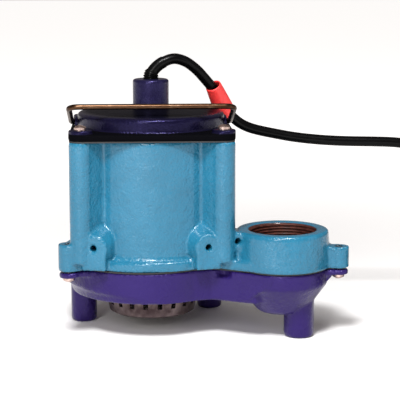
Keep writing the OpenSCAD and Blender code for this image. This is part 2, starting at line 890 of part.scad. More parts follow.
module plug_blade_shapes() {
    for (side = [-1, 1])
        translate([plug_at.x + side * 6.35 - 0.75, plug_face_y - pin_depth, plug_axis_z - 3.15])
            cube([1.5, 17.5 + pin_depth, 6.3]);
}

module plug_ground_shape() {
    translate([plug_at.x, plug_face_y - pin_depth, plug_axis_z - 8.8])
        rotate([-90, 0, 0])
            cylinder(r = 2.4, h = 20.5 + pin_depth);
}

module plug_pin_shapes() {
    plug_blade_shapes();
    plug_ground_shape();
}

module plug_blades() {
    color("#c9b27c")
        place()
            plug_blade_shapes();
}

module plug_ground_pin() {
    color("#c9b27c")
        place()
            plug_ground_shape();
}

// ---------- motor ----------

module stator_core() {
    slots = 24;
    slot_l = 11;
    color("#5b5f66")
        place()
            difference() {
                post([0, 0], stator_r, stack_z, stack_z + stack_h);
                post([0, 0], rotor_r + air_gap, stack_z - cut, stack_z + stack_h + cut);
                for (i = [0 : slots - 1])
                    rotate([0, 0, 360 * (i + 0.5) / slots])
                        translate([rotor_r + air_gap + 1, -1.6, stack_z - cut])
                            cube([slot_l, 3.2, stack_h + 2 * cut]);
                for (i = [0 : 3])
                    rotate([0, 0, 90 * i])
                        post([0, bolt_circle], bolt_r + 0.2, stack_z - cut, stack_z + stack_h + cut);
            }
}

// Ring of wound wire with rounded edges
module winding(from_z) {
    edge = 3;
    rotate_extrude() {
        translate([winding_in_r, from_z + edge])
            square([winding_out_r - winding_in_r, winding_h - 2 * edge]);
        translate([winding_in_r + edge, from_z])
            square([winding_out_r - winding_in_r - 2 * edge, winding_h]);
        for (x = [winding_in_r + edge, winding_out_r - edge])
            for (z = [from_z + edge, from_z + winding_h - edge])
                translate([x, z])
                    circle(edge);
    }
}

module lower_winding() {
    color("#a5562c")
        place()
            winding(stack_z - winding_h);
}

module upper_winding() {
    color("#a5562c")
        place()
            winding(stack_z + stack_h);
}

winding_top_z = stack_z + stack_h + winding_h;

// Three insulated wires from the cord nut through the bracket windows to the upper winding
module motor_leads() {
    turn_z = cap_z + 4;
    path = [
        [lead_off, 0, nut_bore_z], [lead_off, 0, turn_z + 6], [lead_off + 3, 0, turn_z + 1.5],
        [lead_off + 8, 0, turn_z], [window_circle - 7, 0, turn_z],
        [window_circle - 1.8, 0, turn_z - 2], [window_circle, 0, turn_z - 7],
        [window_circle, 0, winding_top_z],
    ];
    color("#e8e6df")
        place()
            for (i = [0 : leads - 1])
                rotate([0, 0, 120 * i + 30])
                    tube(path, same(len(path), lead_r), 8, [0, 1, 0]);
}

// Thermal cut-out, laid on the upper winding
module thermal_protector() {
    color("#d8d2c0")
        place()
            rotate([0, 0, 90])
                translate([window_circle - 4, -9, winding_top_z])
                    cube([8, 18, bracket_z - winding_top_z - 0.5]);
}

module rotor_core() {
    color("#6c7078")
        place()
            difference() {
                post([0, 0], rotor_r, stack_z + 1, stack_z + stack_h - 1);
                post([0, 0], shaft_r, stack_z, stack_z + stack_h);
            }
}

// Cast end rings of the rotor cage, each with short fan fins
module rotor_cage() {
    ring_r = rotor_r - 1.5;
    hole_r = rotor_r - 9;
    color("#c7cacd")
        place()
            for (end = [0, 1]) {
                ring_z = end == 0 ? stack_z + 1 - cage_h : stack_z + stack_h - 1;
                difference() {
                    post([0, 0], ring_r, ring_z, ring_z + cage_h);
                    post([0, 0], hole_r, ring_z - cut, ring_z + cage_h + cut);
                    for (i = [0 : 11])
                        rotate([0, 0, 30 * i])
                            translate([ring_r - 3, -1.2, end == 0 ? ring_z - cut : ring_z + cage_h - 1.5])
                                cube([4, 2.4, 1.5 + cut]);
                }
            }
}

module motor_shaft() {
    color("#b9bdc2")
        place() {
            post([0, 0], shaft_r, blade_z, upper_bearing_z + upper_bearing_l + 0.6);
            post([0, 0], thread_r, shaft_end_z, blade_z + 1);
            post([0, 0], shaft_r + 3, collar_z, collar_z + collar_h);
        }
}

module bearing(from_z, length) {
    difference() {
        post([0, 0], bearing_r, from_z, from_z + length);
        post([0, 0], shaft_r + bearing_gap, from_z - cut, from_z + length + cut);
    }
}

module upper_bearing() {
    color("#b07a3a")
        place()
            bearing(upper_bearing_z, upper_bearing_l);
}

module lower_bearing() {
    color("#b07a3a")
        place()
            bearing(bearing_z, bearing_l);
}

module thrust_washer() {
    color("#c9c2a8")
        place()
            difference() {
                post([0, 0], bearing_r - 0.5, washer_z, washer_z + washer_t);
                post([0, 0], shaft_r + 0.1, washer_z - cut, washer_z + washer_t + cut);
            }
}

module bearing_bracket() {
    color("#9aa0a6")
        place()
            difference() {
                union() {
                    post([0, 0], bracket_r - 0.05, bracket_z, bracket_z + bracket_t);
                    post([0, 0], bracket_hub_r, upper_bearing_z, bracket_z + bracket_t);
                }
                post([0, 0], bearing_r, upper_bearing_z - cut, upper_bearing_z + upper_bearing_l);
                post([0, 0], shaft_hole_r, upper_bearing_z, bracket_z + bracket_t + cut);
                for (i = [0 : 5])
                    rotate([0, 0, 60 * i + 30])
                        post([window_circle, 0], window_r, bracket_z - cut, bracket_z + bracket_t + cut);
                for (i = [0 : 3])
                    rotate([0, 0, 90 * i])
                        post([0, bolt_circle], bolt_r + 0.2, bracket_z - cut, bracket_z + bracket_t + cut);
            }
}

// Long bolts that clamp the bracket and the stator on the housing's stator seat
module stator_bolts() {
    color("#8f8b84")
        place()
            for (i = [0 : 3])
                rotate([0, 0, 90 * i]) {
                    post([0, bolt_circle], bolt_r, stack_z - bolt_reach, bracket_z + bracket_t + 1);
                    translate([0, bolt_circle, bracket_z + bracket_t])
                        cylinder(r = bolt_r * 1.9, h = 2.4, $fn = 6);
                }
}

// ---------- shaft seal and impeller ----------

module seal_seat() {
    color("#e9e4d6")
        place()
            difference() {
                post([0, 0], seal_seat_r, seal_seat_z, seal_seat_z + seal_seat_t);
                post([0, 0], shaft_r + 1, seal_seat_z - cut, seal_seat_z + seal_seat_t + cut);
            }
}

// Rotating half of the seal: a rubber bellows between two cups
module seal_head() {
    seal_z = seal_seat_z - seat_gap;
    color("#202024")
        place()
            difference() {
                rotate_extrude()
                    polygon([[0, hub_top_z], [10, hub_top_z], [12, hub_top_z + 1.5],
                             [9.5, (hub_top_z + seal_z) / 2],
                             [12, seal_z - 1.5], [12, seal_z], [0, seal_z]]);
                post([0, 0], shaft_r, hub_top_z - cut, seal_z + cut);
            }
}

// One backward curved blade as a plan outline: its angle turns back as the radius grows
blade_in_r = inlet_r - 4;
blade_sweep = 62;
function blade_turn(r) = -blade_sweep * pow((r - blade_in_r) / (impeller_r - blade_in_r), 0.8);
function blade_edge(r, side) =
    let (turn = blade_turn(r) + side * blade_t / 2 / r * 57.3)
    r * [cos(turn), sin(turn)];
blade_radii = [for (i = [0 : 12]) blade_in_r + (impeller_r - 0.3 - blade_in_r) * i / 12];

module blade_outline() {
    polygon(concat(
        [for (r = blade_radii) blade_edge(r, 1)],
        [for (i = [12 : -1 : 0]) blade_edge(blade_radii[i], -1)]));
}

module impeller() {
    color("#3a3a40")
        place()
            difference() {
                union() {
                    post([0, 0], impeller_hub_r, blade_z, hub_top_z);
                    post([0, 0], impeller_r, shroud_z, shroud_z + shroud_t);
                    translate([0, 0, shroud_z])
                        rotate([0, 180, 0])
                            cylinder(r1 = blade_in_r + 3, r2 = impeller_hub_r, h = 4);
                    for (i = [0 : blade_count - 1])
                        rotate([0, 0, 360 * i / blade_count])
                            translate([0, 0, blade_z])
                                linear_extrude(blade_h + 0.5)
                                    blade_outline();
                }
                post([0, 0], shaft_r, blade_z - cut, hub_top_z + cut);
            }
}

module impeller_nut() {
    color("#b9a06a")
        place()
            difference() {
                translate([0, 0, blade_z - impeller_nut_h])
                    cylinder(d = nut_across / cos(30), h = impeller_nut_h, $fn = 6);
                post([0, 0], thread_r, shaft_end_z - cut, blade_z + cut);
            }
}

// ---------- volute ----------

// Front face of the duct: a flat facet that ends in a slanting edge above the elbow
module duct_facet() {
    tip = outlet_point(facet_turn, facet_r);
    intersection() {
        translate([0, 0, volute_foot_z + 1])
            linear_extrude(volute_top_z - volute_foot_z - 1)
                polygon([neck + [1, 0.8], tip, tip + [0, 18], neck + [4, 12]]);
        rotate([90, 0, 0])
            linear_extrude(100)
                polygon([[0, volute_foot_z], [tip.x - 18, volute_foot_z], [tip.x, volute_top_z - 7],
                         [tip.x, volute_top_z + 1], [0, volute_top_z + 1]]);
    }
}

// Elbow below the outlet: a cone that closes to a small flat foot
module elbow() {
    translate([outlet_x, outlet_y, 0])
        rotate_extrude()
            polygon([[0, elbow_z], [elbow_foot_r - 3, elbow_z], [elbow_foot_r, elbow_z + 2],
                     [elbow_r, volute_top_z - 11], [elbow_r, volute_top_z], [0, volute_top_z]]);
}

module leg(at, r, to_z) {
    edge = 1.5;
    translate([at.x, at.y, 0]) {
        cylinder(r1 = r - edge, r2 = r, h = edge);
        translate([0, 0, edge])
            cylinder(r = r, h = to_z - edge);
    }
}

// Spiral casing: its full outline, rounded off below by a dish round the motor axis
module spiral_casing() {
    dish_r = volute_r0 + 1.5;
    edge_r = volute_r0 + volute_growth + 2;
    slope_z = volute_foot_z + 5;
    intersection() {
        translate([0, 0, volute_foot_z])
            linear_extrude(volute_top_z - volute_foot_z)
                polygon(concat(spiral_points(volute_growth, 0), [[20, 10], [20, -20]]));
        rotate_extrude()
            polygon([[0, volute_foot_z - cut], [dish_r, volute_foot_z - cut], [dish_r, volute_foot_z],
                     [dish_r + 1.5, slope_z], [edge_r, slope_z + edge_r - dish_r - 1.5],
                     [edge_r, volute_top_z + cut], [0, volute_top_z + cut]]);
    }
}

// Duct between the spiral casing and the elbow
module duct() {
    translate([0, 0, volute_foot_z])
        linear_extrude(volute_top_z - volute_foot_z)
            polygon([[0, 0], spiral_point(duct_turn, volute_growth, -0.1),
                     outlet_point(duct_edge_turn, outlet_r - 1.5), outlet_point(-50, 10),
                     outlet_point(facet_turn - 24, outlet_r - 1.5), neck,
                     spiral_point(tongue_turn, volute_growth, -0.1)]);
}

module volute_body() {
    spiral_casing();
    duct();
    duct_facet();
    elbow();
    leg(leg_left, leg_r, volute_foot_z + 12);
    leg(leg_rear, leg_r, volute_foot_z + 12);
    leg(leg_outlet, outlet_leg_r, volute_top_z - 8);
    for (i = [0 : 3])
        ear(ear_roots[i], ear_places[i], ear_r - 0.4, volute_top_z - ear_t, volute_top_z);
    // gusset under the outlet ear, which runs down into the leg
    reach = ear_places[1] - leg_outlet;
    translate([leg_outlet.x, leg_outlet.y, 0])
        rotate([90, 0, atan2(reach.y, reach.x)])
            translate([0, 0, -4])
                linear_extrude(8)
                    polygon([[0, volute_foot_z + 2], [outlet_leg_r, volute_foot_z + 4],
                             [23, volute_top_z - 6], [25, volute_top_z - 1], [0, volute_top_z - 1]]);
}

// Water space: the spiral chamber, the duct and the elbow pocket
module volute_space() {
    inner_r = outlet_way_r + 1;
    translate([0, 0, chamber_floor_z])
        linear_extrude(volute_top_z - chamber_floor_z + cut) {
            polygon(spiral_points(chamber_growth, -volute_wall));
            circle(r = impeller_r + chamber_gap);
            polygon([
                [0, 0], [46, -25], outlet_point(-130, inner_r), [outlet_x, outlet_y],
                outlet_point(duct_edge_turn, inner_r + 4),
                spiral_point(duct_turn, chamber_growth, -volute_wall - 1),
            ]);
        }
    pocket_z = elbow_z + volute_floor_t;
    translate([outlet_x, outlet_y, 0])
        rotate_extrude()
            polygon([[0, pocket_z], [elbow_foot_r - volute_wall - 2, pocket_z],
                     [inner_r, chamber_floor_z + 1], [inner_r, volute_top_z + cut],
                     [0, volute_top_z + cut]]);
}

module volute() {
    color("#443782")
        place()
            difference() {
                volute_body();
                volute_space();
                post([0, 0], inlet_r, volute_foot_z - cut, chamber_floor_z + cut);
                for (i = [0 : 3])
                    post(ear_places[i], screw_r + 0.2, volute_foot_z - 8, volute_top_z + cut);
                post(neck_place, screw_r + 0.2, volute_foot_z, volute_top_z + cut);
                post(neck_place, head_r + 0.8, volute_foot_z - 1, neck_seat_z);
                // hollows in the upper edge under the front bosses
                post([-48, -56], 7, volute_top_z - 8, volute_top_z + cut);
                post([-35, -60], 6, volute_top_z - 4, volute_top_z + cut);
                post([49, -53], 7, volute_top_z - 5, volute_top_z + cut);
                for (i = [0 : 2])
                    rotate([0, 0, 120 * i + 60])
                        post([strainer_screw_circle, 0], 1.5, volute_foot_z - cut, volute_foot_z + 3);
            }
}

module volute_gasket() {
    color("#101013")
        place()
            difference() {
                union() {
                    translate([0, 0, volute_top_z])
                        linear_extrude(gasket_t)
                            polygon(pump_points(volute_growth, 0.3, -2));
                    post([outlet_x, outlet_y], outlet_r - 0.5, volute_top_z, joint_z);
                }
                post([0, 0], impeller_r + chamber_gap, volute_top_z - cut, joint_z + cut);
                post([outlet_x, outlet_y], outlet_way_r + 0.5, volute_top_z - cut, joint_z + cut);
                post(neck_place, screw_r + 0.4, volute_top_z - cut, joint_z + cut);
            }
}

module volute_screws() {
    color("#b99c93")
        place() {
            for (at = ear_places)
                translate([at.x, at.y, volute_top_z - ear_t])
                    rotate([180, 0, 0])
                        screw(16);
            translate([neck_place.x, neck_place.y, neck_seat_z])
                rotate([180, 0, 0])
                    screw(20);
        }
}

// ---------- strainer ----------

// Side line of the strainer dish, from its bottom edge to its rim
module dish_profile(inset) {
    polygon([[0, strainer_z + inset], [strainer_bottom_r - 2 - inset / 2, strainer_z + inset],
             [strainer_bottom_r - inset / 2, strainer_z + 1.2 + inset],
             [dish_top_r - inset, volute_foot_z + (inset > 0 ? cut : 0)],
             [0, volute_foot_z + (inset > 0 ? cut : 0)]]);
}

module strainer() {
    slot_count = 20;
    color("#8b8378")
        place()
            difference() {
                union() {
                    rotate_extrude()
                        dish_profile(0);
                    post([0, 0], strainer_r, volute_foot_z - sheet_t, volute_foot_z);
                }
                rotate_extrude()
                    dish_profile(sheet_t);
                for (row = [1 : 3])
                    for (i = [0 : 6 * row - 1])
                        rotate([0, 0, 60 * i / row])
                            post([8.3 * row, 0], strainer_hole_r,
                                 strainer_z - cut, strainer_z + sheet_t + cut);
                for (i = [0 : slot_count - 1])
                    rotate([0, 0, 360 * (i + 0.5) / slot_count])
                        translate([strainer_bottom_r - 3, -1.8, volute_foot_z - 10.5])
                            cube([9, 3.6, 7]);
                for (i = [0 : 2])
                    rotate([0, 0, 120 * i + 60])
                        post([strainer_screw_circle, 0], 1.6, volute_foot_z - 3, volute_foot_z + cut);
            }
}

module strainer_screws() {
    color("#a9a39a")
        place()
            for (i = [0 : 2])
                rotate([0, 0, 120 * i + 60]) {
                    post([strainer_screw_circle, 0], 1.5, volute_foot_z - sheet_t - 0.5, volute_foot_z + 3);
                    post([strainer_screw_circle, 0], 3,
                         volute_foot_z - sheet_t - 2, volute_foot_z - sheet_t);
                }
}

motor_housing();
cap();
cap_gasket();
cap_screws();
handle();
cord_nut();
strain_relief();
cord_lead();
cord_hood();
cord_coil();
cord_tail();
coil_tie();
plug_body();
plug_blades();
plug_ground_pin();
stator_core();
lower_winding();
upper_winding();
motor_leads();
thermal_protector();
rotor_core();
rotor_cage();
motor_shaft();
upper_bearing();
lower_bearing();
thrust_washer();
bearing_bracket();
stator_bolts();
seal_seat();
seal_head();
impeller();
impeller_nut();
volute_gasket();
volute();
volute_screws();
strainer();
strainer_screws();
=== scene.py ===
"""Submersible sump pump: the looks of the packed model, as a small Blender add-on.

Each piece, or group of like pieces, has an operator of its own, and the panel "Sump Pump" in the
sidebar lists them in the order in which main() calls them. Lengths are in millimetres and points
lie around the motor axis, until placed() takes them to the frame in metres.
"""

import math

import bmesh
import bpy
import numpy as np
from mathutils import Matrix, Vector


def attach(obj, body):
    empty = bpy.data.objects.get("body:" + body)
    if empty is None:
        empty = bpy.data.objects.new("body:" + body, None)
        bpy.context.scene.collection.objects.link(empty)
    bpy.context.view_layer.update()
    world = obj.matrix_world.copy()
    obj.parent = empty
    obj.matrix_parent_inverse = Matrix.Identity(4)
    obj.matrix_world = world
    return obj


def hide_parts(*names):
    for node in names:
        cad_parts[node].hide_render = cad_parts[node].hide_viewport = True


bl_info = {
    "name": "Sump Pump",
    "version": (1, 0, 0),
    "blender": (4, 5, 0),
    "location": "View3D > Sidebar > Sump Pump",
    "description": "Builds the looks of a submersible sump pump on its packed model",
    "category": "Object",
}

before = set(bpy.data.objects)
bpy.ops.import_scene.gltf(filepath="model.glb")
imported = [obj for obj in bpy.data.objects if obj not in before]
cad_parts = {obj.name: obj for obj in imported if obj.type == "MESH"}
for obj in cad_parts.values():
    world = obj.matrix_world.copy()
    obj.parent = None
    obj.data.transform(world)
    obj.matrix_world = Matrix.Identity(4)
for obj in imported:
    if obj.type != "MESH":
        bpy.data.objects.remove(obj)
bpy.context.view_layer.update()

MM = 0.001
ORIGIN = (37.0, 2.2, 0.0)  # the frame's origin, seen from the motor axis
OUTLET = (94.0, -38.0)
OUTLET_TOP = 78.5
THREAD_R = 24.1
BORE_RUST_FROM = 46.0  # height in the outlet above which the bore has rusted
# Painted shade: dark discs on the ears' tops, where the mouths of holes would be
HOLE_SHADE_SPOTS = ((-60.0, -49.0), (134.0, -47.0), (-50.0, 60.0), (40.0, 70.0))
FLANGE_TOP = 150.0  # the cap's flange is dull black up to here
CROWN_SHADE_FROM = 160.4  # and from here on its crown is dull and painted dark: painted shade
CORD_D = 7.9


def placed(points):
    """Points in the frame, in metres: each point less the origin, times MM."""
    return (np.asarray(points, float) - ORIGIN) * MM


# ---------- settings ----------


class SumpPumpCasting(bpy.types.PropertyGroup):
    """How the cast pieces are rounded and coated."""

    voxel: bpy.props.FloatProperty(
        name="Voxel",
        description="Grid size of the rounded housing and volute",
        unit="LENGTH",
        precision=4,
        default=1.0 * MM,
        min=0.6 * MM,
        max=2.0 * MM,
    )
    rounding: bpy.props.IntProperty(
        name="Rounding",
        description="Smoothing passes over every edge of the housing and the volute",
        default=6,
        min=0,
        max=20,
    )
    keep: bpy.props.FloatProperty(
        name="Keep",
        description="Share of the faces that the rounded castings keep",
        subtype="FACTOR",
        default=0.35,
        min=0.1,
        max=1.0,
    )
    housing_colour: bpy.props.FloatVectorProperty(
        name="Housing",
        description="Epoxy coat of the motor housing",
        subtype="COLOR",
        default=(0.0115, 0.126, 0.216),
        min=0.0,
        max=1.0,
    )
    volute_colour: bpy.props.FloatVectorProperty(
        name="Volute",
        description="Epoxy coat of the volute and its legs",
        subtype="COLOR",
        default=(0.0165, 0.008, 0.075),
        min=0.0,
        max=1.0,
    )
    cap_colour: bpy.props.FloatVectorProperty(
        name="Cap",
        description="Epoxy coat of the cap, and somewhat lighter of the cord nut",
        subtype="COLOR",
        default=(0.0036, 0.003, 0.0125),
        min=0.0,
        max=1.0,
    )


class SumpPumpCord(bpy.types.PropertyGroup):
    """How finely the cord is drawn, and its hood's colour."""

    between: bpy.props.IntProperty(
        name="Between",
        description="Points that are set between two points of the cord's route",
        default=4,
        min=1,
        max=8,
    )
    hood_colour: bpy.props.FloatVectorProperty(
        name="Hood",
        description="Vinyl of the hood on the cord",
        subtype="COLOR",
        default=(0.8, 0.042, 0.04),
        min=0.0,
        max=1.0,
    )


class SumpPumpStage(bpy.types.PropertyGroup):
    """Camera, floor and lights."""

    lens: bpy.props.FloatProperty(
        name="Lens",
        description="Focal length of the camera, in millimetres",
        unit="CAMERA",
        default=122.44,
        min=50.0,
        max=200.0,
    )
    key: bpy.props.FloatProperty(
        name="Key light",
        description="Power of the main light from the left; the small high light follows it",
        unit="POWER",
        default=8.5,
        min=0.0,
        max=400.0,
    )
    fill: bpy.props.FloatProperty(
        name="Fill light",
        description="Power of the light from the right",
        unit="POWER",
        default=1.2,
        min=0.0,
        max=400.0,
    )
    top: bpy.props.FloatProperty(
        name="Overhead light",
        description="Power of the wide light overhead",
        unit="POWER",
        default=9.5,
        min=0.0,
        max=400.0,
    )
    sky: bpy.props.FloatProperty(
        name="Surrounding light",
        description="Strength of the even light from all sides",
        default=0.22,
        min=0.0,
        max=3.0,
    )
    glow: bpy.props.FloatProperty(
        name="Glow",
        description="Light that the far floor gives off by itself",
        default=0.78,
        min=0.0,
        max=2.0,
    )
    floor_colour: bpy.props.FloatVectorProperty(
        name="Floor",
        description="Colour of the floor",
        subtype="COLOR",
        default=(0.94, 0.93, 0.925),
        min=0.0,
        max=1.0,
    )


# ---------- shader maths ----------


class Value:
    """A socket's value or colour. Values add, subtract and multiply as numbers do."""

    def __init__(self, finish, socket):
        self.finish = finish
        self.socket = socket

    def math(self, operation, *inputs):
        """Result of a Math node."""
        return self.finish.node("Math", {"operation": operation}, dict(enumerate(inputs)))

    def __add__(self, other):
        return self.math("ADD", self, other)

    __radd__ = __add__

    def __sub__(self, other):
        return self.math("SUBTRACT", self, other)

    def __rsub__(self, other):
        return self.math("SUBTRACT", other, self)

    def __mul__(self, other):
        return self.math("MULTIPLY", self, other)

    __rmul__ = __mul__

    def sin(self):
        return self.math("SINE", self)

    def root(self):
        """Square root."""
        return self.math("SQRT", self)

    def step(self, low, high):
        """0 below low, 1 above high, and smooth between them."""
        ends = {"Value": self, "From Min": low, "From Max": high}
        return self.finish.node("MapRange", {"interpolation_type": "SMOOTHSTEP"}, ends)

    def past(self, low, high):
        """The same step for a length, with its ends in millimetres."""
        return self.step(low * MM, high * MM)


class Finish:
    """A material being made: its tree, its coordinates in metres and its surface shader."""

    def __init__(self, name):
        self.material = bpy.data.materials.new(name)
        self.material.use_nodes = True
        self.tree = self.material.node_tree
        self.shader = self.tree.nodes["Principled BSDF"]
        self.normal = None
        self.place = self.node("TexCoord", out="Object")
        split = self.node("SeparateXYZ", sockets={0: self.place}).socket.node
        self.x, self.y, self.z = (Value(self, out) for out in split.outputs)

    def node(self, kind, settings=(), sockets=(), out=0):
        """Adds a node of a type, with its settings and then its sockets, and gives its output."""
        node = self.tree.nodes.new("ShaderNode" + kind)
        for key, value in dict(settings).items():
            setattr(node, key, value)
        self.fill(node, dict(sockets))
        return Value(self, node.outputs[out])

    def fill(self, node, sockets):
        """Sets or links sockets of a node, by their names or numbers."""
        for key, value in sockets.items():
            slot = node.inputs[key]
            if isinstance(value, Value):
                self.tree.links.new(value.socket, slot)
            elif slot.type == "RGBA":
                slot.default_value = (*value[:3], 1.0)
            else:
                slot.default_value = value

    def set(self, **values):
        """Sets or links sockets of the surface shader, such as metallic=1.0."""
        self.fill(self.shader, shader_sockets(values))

    def noise(self, grain, detail=3.0, rough=0.5, scale=(1, 1, 1)):
        """Noise in patches about grain millimetres across, drawn out along axes of small scale."""
        vector = self.place
        if scale != (1, 1, 1):
            vector = self.node("Mapping", sockets={"Scale": scale, "Vector": self.place})
        per_metre = 1 / (grain * MM)
        sockets = {"Scale": per_metre, "Detail": detail, "Roughness": rough, "Vector": vector}
        return self.node("TexNoise", sockets=sockets)

    def around(self, x, y):
        """Distance from an upright axis, in metres: the root of the two squared offsets' sum."""
        x, y, _ = placed((x, y, 0.0)).tolist()
        dx, dy = self.x - x, self.y - y
        return (dx * dx + dy * dy).root()

    def mix(self, share, low, high):
        """Colour that goes from low to high with share."""
        return self.node("Mix", {"data_type": "RGBA"}, {0: share, 6: low, 7: high}, out=2)

    def bump(self, height, depth, strength=1.0):
        """Adds relief to what is there: height from 0 to 1, depth in millimetres."""
        sockets = {"Strength": strength, "Distance": depth * MM, "Height": height}
        if self.normal is not None:
            sockets["Normal"] = self.normal
        self.normal = self.node("Bump", sockets=sockets)
        self.set(normal=self.normal)

    def own(self, socket):
        """What feeds a socket of the surface shader so far."""
        return Value(self, self.shader.inputs[socket].links[0].from_socket)

    def cover(self, mask, colour):
        """Lays a colour over the surface's own where mask is 1."""
        self.set(base_color=self.mix(mask, self.own("Base Color"), colour))

    def show(self, share, **values):
        """Shows the surface where share is 1, and a plain one with these values where it is 0."""
        sockets = shader_sockets(values) | {"Normal": self.normal}
        under = self.node("BsdfPrincipled", sockets=sockets)
        surface = Value(self, self.shader.outputs["BSDF"])
        blend = self.node("MixShader", sockets={0: share, 1: under, 2: surface})
        self.fill(self.tree.nodes["Material Output"], {"Surface": blend})


def shader_sockets(values):
    """Socket names of the surface shader for keywords such as specular_ior_level."""
    return {key.replace("_", " ").title().replace("Ior", "IOR"): v for key, v in values.items()}


def shade(colour, factor):
    """Colour times factor, no part of it above 1."""
    return tuple(min(1.0, part * factor) for part in colour[:3])


# ---------- materials ----------


def epoxy(name, colour, sheen=None, peel=1.0):
    """Glossy epoxy on a sand casting: faint clouds, and casting waves under an orange peel.

    With a sheen, which is the colour of its reflections, the coat is thin and satin.
    """
    f = Finish(name)
    clouds = f.noise(38, 3, 0.55)
    tone = f.mix(clouds.step(0.25, 0.75), shade(colour, 0.9), shade(colour, 1.08))
    f.set(base_color=tone, roughness=0.22 + clouds * 0.1, coat_roughness=0.08)
    if sheen:
        f.set(coat_weight=0.05, specular_tint=sheen, specular_ior_level=0.4)
    else:
        f.set(coat_weight=0.5, specular_ior_level=0.22)
    for grain, depth in ((14, 1.4), (4.2, 0.6), (1.5, 0.6)):
        f.bump(f.noise(grain, detail=1.0), depth * peel)
    return f


def housing_epoxy(colour):
    """Epoxy that ends at the outlet's rusted bore, with painted shade in dark discs over the ears'
    holes.
    """
    f = epoxy("housing_epoxy", colour)
    wall = f.around(*OUTLET).past(THREAD_R + 0.35, THREAD_R + 1.1)
    bore = (1.0 - wall) * f.z.past(BORE_RUST_FROM - 1.0, BORE_RUST_FROM + 1.0)
    patches = f.noise(3.0, 5, 0.65).step(0.3, 0.7)
    f.cover(bore, f.mix(patches, (0.022, 0.006, 0.005), (0.085, 0.027, 0.018)))
    f.set(roughness=f.own("Roughness") + bore * 0.35)
    # Painted shade: a dark disc on each ear's top stands in for the shade inside a hole's mouth
    shade_r, shade_fade_r = 2.4, 3.6
    for shade_spot in HOLE_SHADE_SPOTS:
        f.cover(1.0 - f.around(*shade_spot).past(shade_r, shade_fade_r), (0.004, 0.012, 0.02))
    return f.material


def cap_epoxy(colour):
    """Satin epoxy over the cap's shoulder, a dull black flange below it, and painted shade above: a
    dark crown without reflection.
    """
    f = epoxy("cap_epoxy", colour, sheen=(0.35, 0.3, 1.0), peel=0.35)
    f.set(ior=1.3, specular_ior_level=0.6)
    above = f.z.past(FLANGE_TOP - 0.4, FLANGE_TOP + 0.4)
    # Painted shade: the crown is dark and almost without reflection, in place of a dark reflection
    crown_shade = f.z.past(CROWN_SHADE_FROM - 0.5, CROWN_SHADE_FROM + 0.5)
    satin = above * (1.0 - crown_shade * 0.85)
    f.show(satin, base_color=(0.0022, 0.0022, 0.003), roughness=0.35, ior=1.03)
    return f.material


def thread_rust():
    """Rust on the pipe thread, in light and dark patches."""
    f = Finish("thread_rust")
    old = f.noise(2.6, 5, 0.65).step(0.3, 0.7)
    f.set(base_color=f.mix(old, (0.022, 0.005, 0.004), (0.085, 0.022, 0.014)))
    f.set(roughness=0.42 + old * 0.3, metallic=0.1, specular_ior_level=0.2)
    f.bump(f.noise(0.7), 0.06, 0.8)
    return f.material


def wire_steel():
    """Drawn wire with a copper tint that has worn and tarnished in patches along its length."""
    f = Finish("handle_wire")
    patches = f.noise(16, 4, 0.6, scale=(0.35, 1, 1)).step(0.38, 0.66)
    streaks = f.noise(0.9, 3, 0.7, scale=(0.06, 1, 1))
    tone = f.mix(patches, (0.068, 0.035, 0.019), (0.031, 0.013, 0.006))
    tone = f.mix((streaks * f.noise(5)).step(0.25, 0.45), tone, (0.16, 0.1, 0.062))
    f.set(base_color=tone, roughness=0.24 + streaks * 0.16 + patches * 0.08, metallic=1.0)
    f.bump(streaks, 0.03, 0.6)
    f.bump(f.noise(0.5, 2), 0.012, 0.5)
    return f.material


def screw_steel():
    """Turned stainless screws, tarnished in patches."""
    f = Finish("screw_steel")
    bright = (0.60, 0.45, 0.40)
    film = f.noise(2.4, 4, 0.6).step(0.3, 0.75)
    f.set(base_color=f.mix(film, shade(bright, 1.15), shade(bright, 0.55)))
    f.set(roughness=0.26 + film * 0.2, metallic=1.0)
    f.bump(f.noise(0.35, 2), 0.02, 0.7)
    return f.material


def sheet_steel():
    """Punched stainless sheet that has dulled in water."""
    f = Finish("strainer_steel")
    stain = f.noise(11, 5, 0.62).step(0.35, 0.7)
    brush = f.noise(0.8, 2, 0.6, scale=(1, 1, 0.1))
    f.set(base_color=f.mix(stain, (0.14, 0.105, 0.105), (0.054, 0.034, 0.036)))
    f.set(roughness=0.3 + stain * 0.25 + brush * 0.1, metallic=0.9)
    f.bump(brush, 0.03, 0.6)
    f.bump(f.noise(6, 2), 0.15, 0.4)
    return f.material


def jacket():
    """Satin black cord jacket with faint drawing lines and dust."""
    f = Finish("cord_jacket")
    dust = f.noise(9, 5, 0.7).step(0.5, 0.85)
    fine = f.noise(0.6, 3, 0.6)
    f.set(base_color=f.mix(dust * 0.5, (0.0015, 0.0015, 0.0017), (0.007, 0.0068, 0.0065)))
    f.set(roughness=0.26 + fine * 0.14 + dust * 0.12)
    f.set(specular_ior_level=0.05, coat_weight=0.08, coat_roughness=0.12)
    f.bump(fine, 0.02, 0.6)
    f.bump(f.noise(22, 1), 0.25, 0.5)
    return f.material


def vinyl(colour):
    """Soft translucent vinyl with a slightly uneven skin."""
    f = Finish("hood_vinyl")
    skin = f.noise(3.2)
    f.set(base_color=f.mix(skin.step(0.3, 0.7), shade(colour, 0.9), shade(colour, 1.1)))
    f.set(roughness=0.34 + skin * 0.15)
    f.set(subsurface_weight=0.15, subsurface_radius=(0.004, 0.0012, 0.0008), subsurface_scale=1.0)
    f.bump(skin, 0.12, 0.4)
    f.bump(f.noise(0.8, 2), 0.02, 0.5)
    return f.material


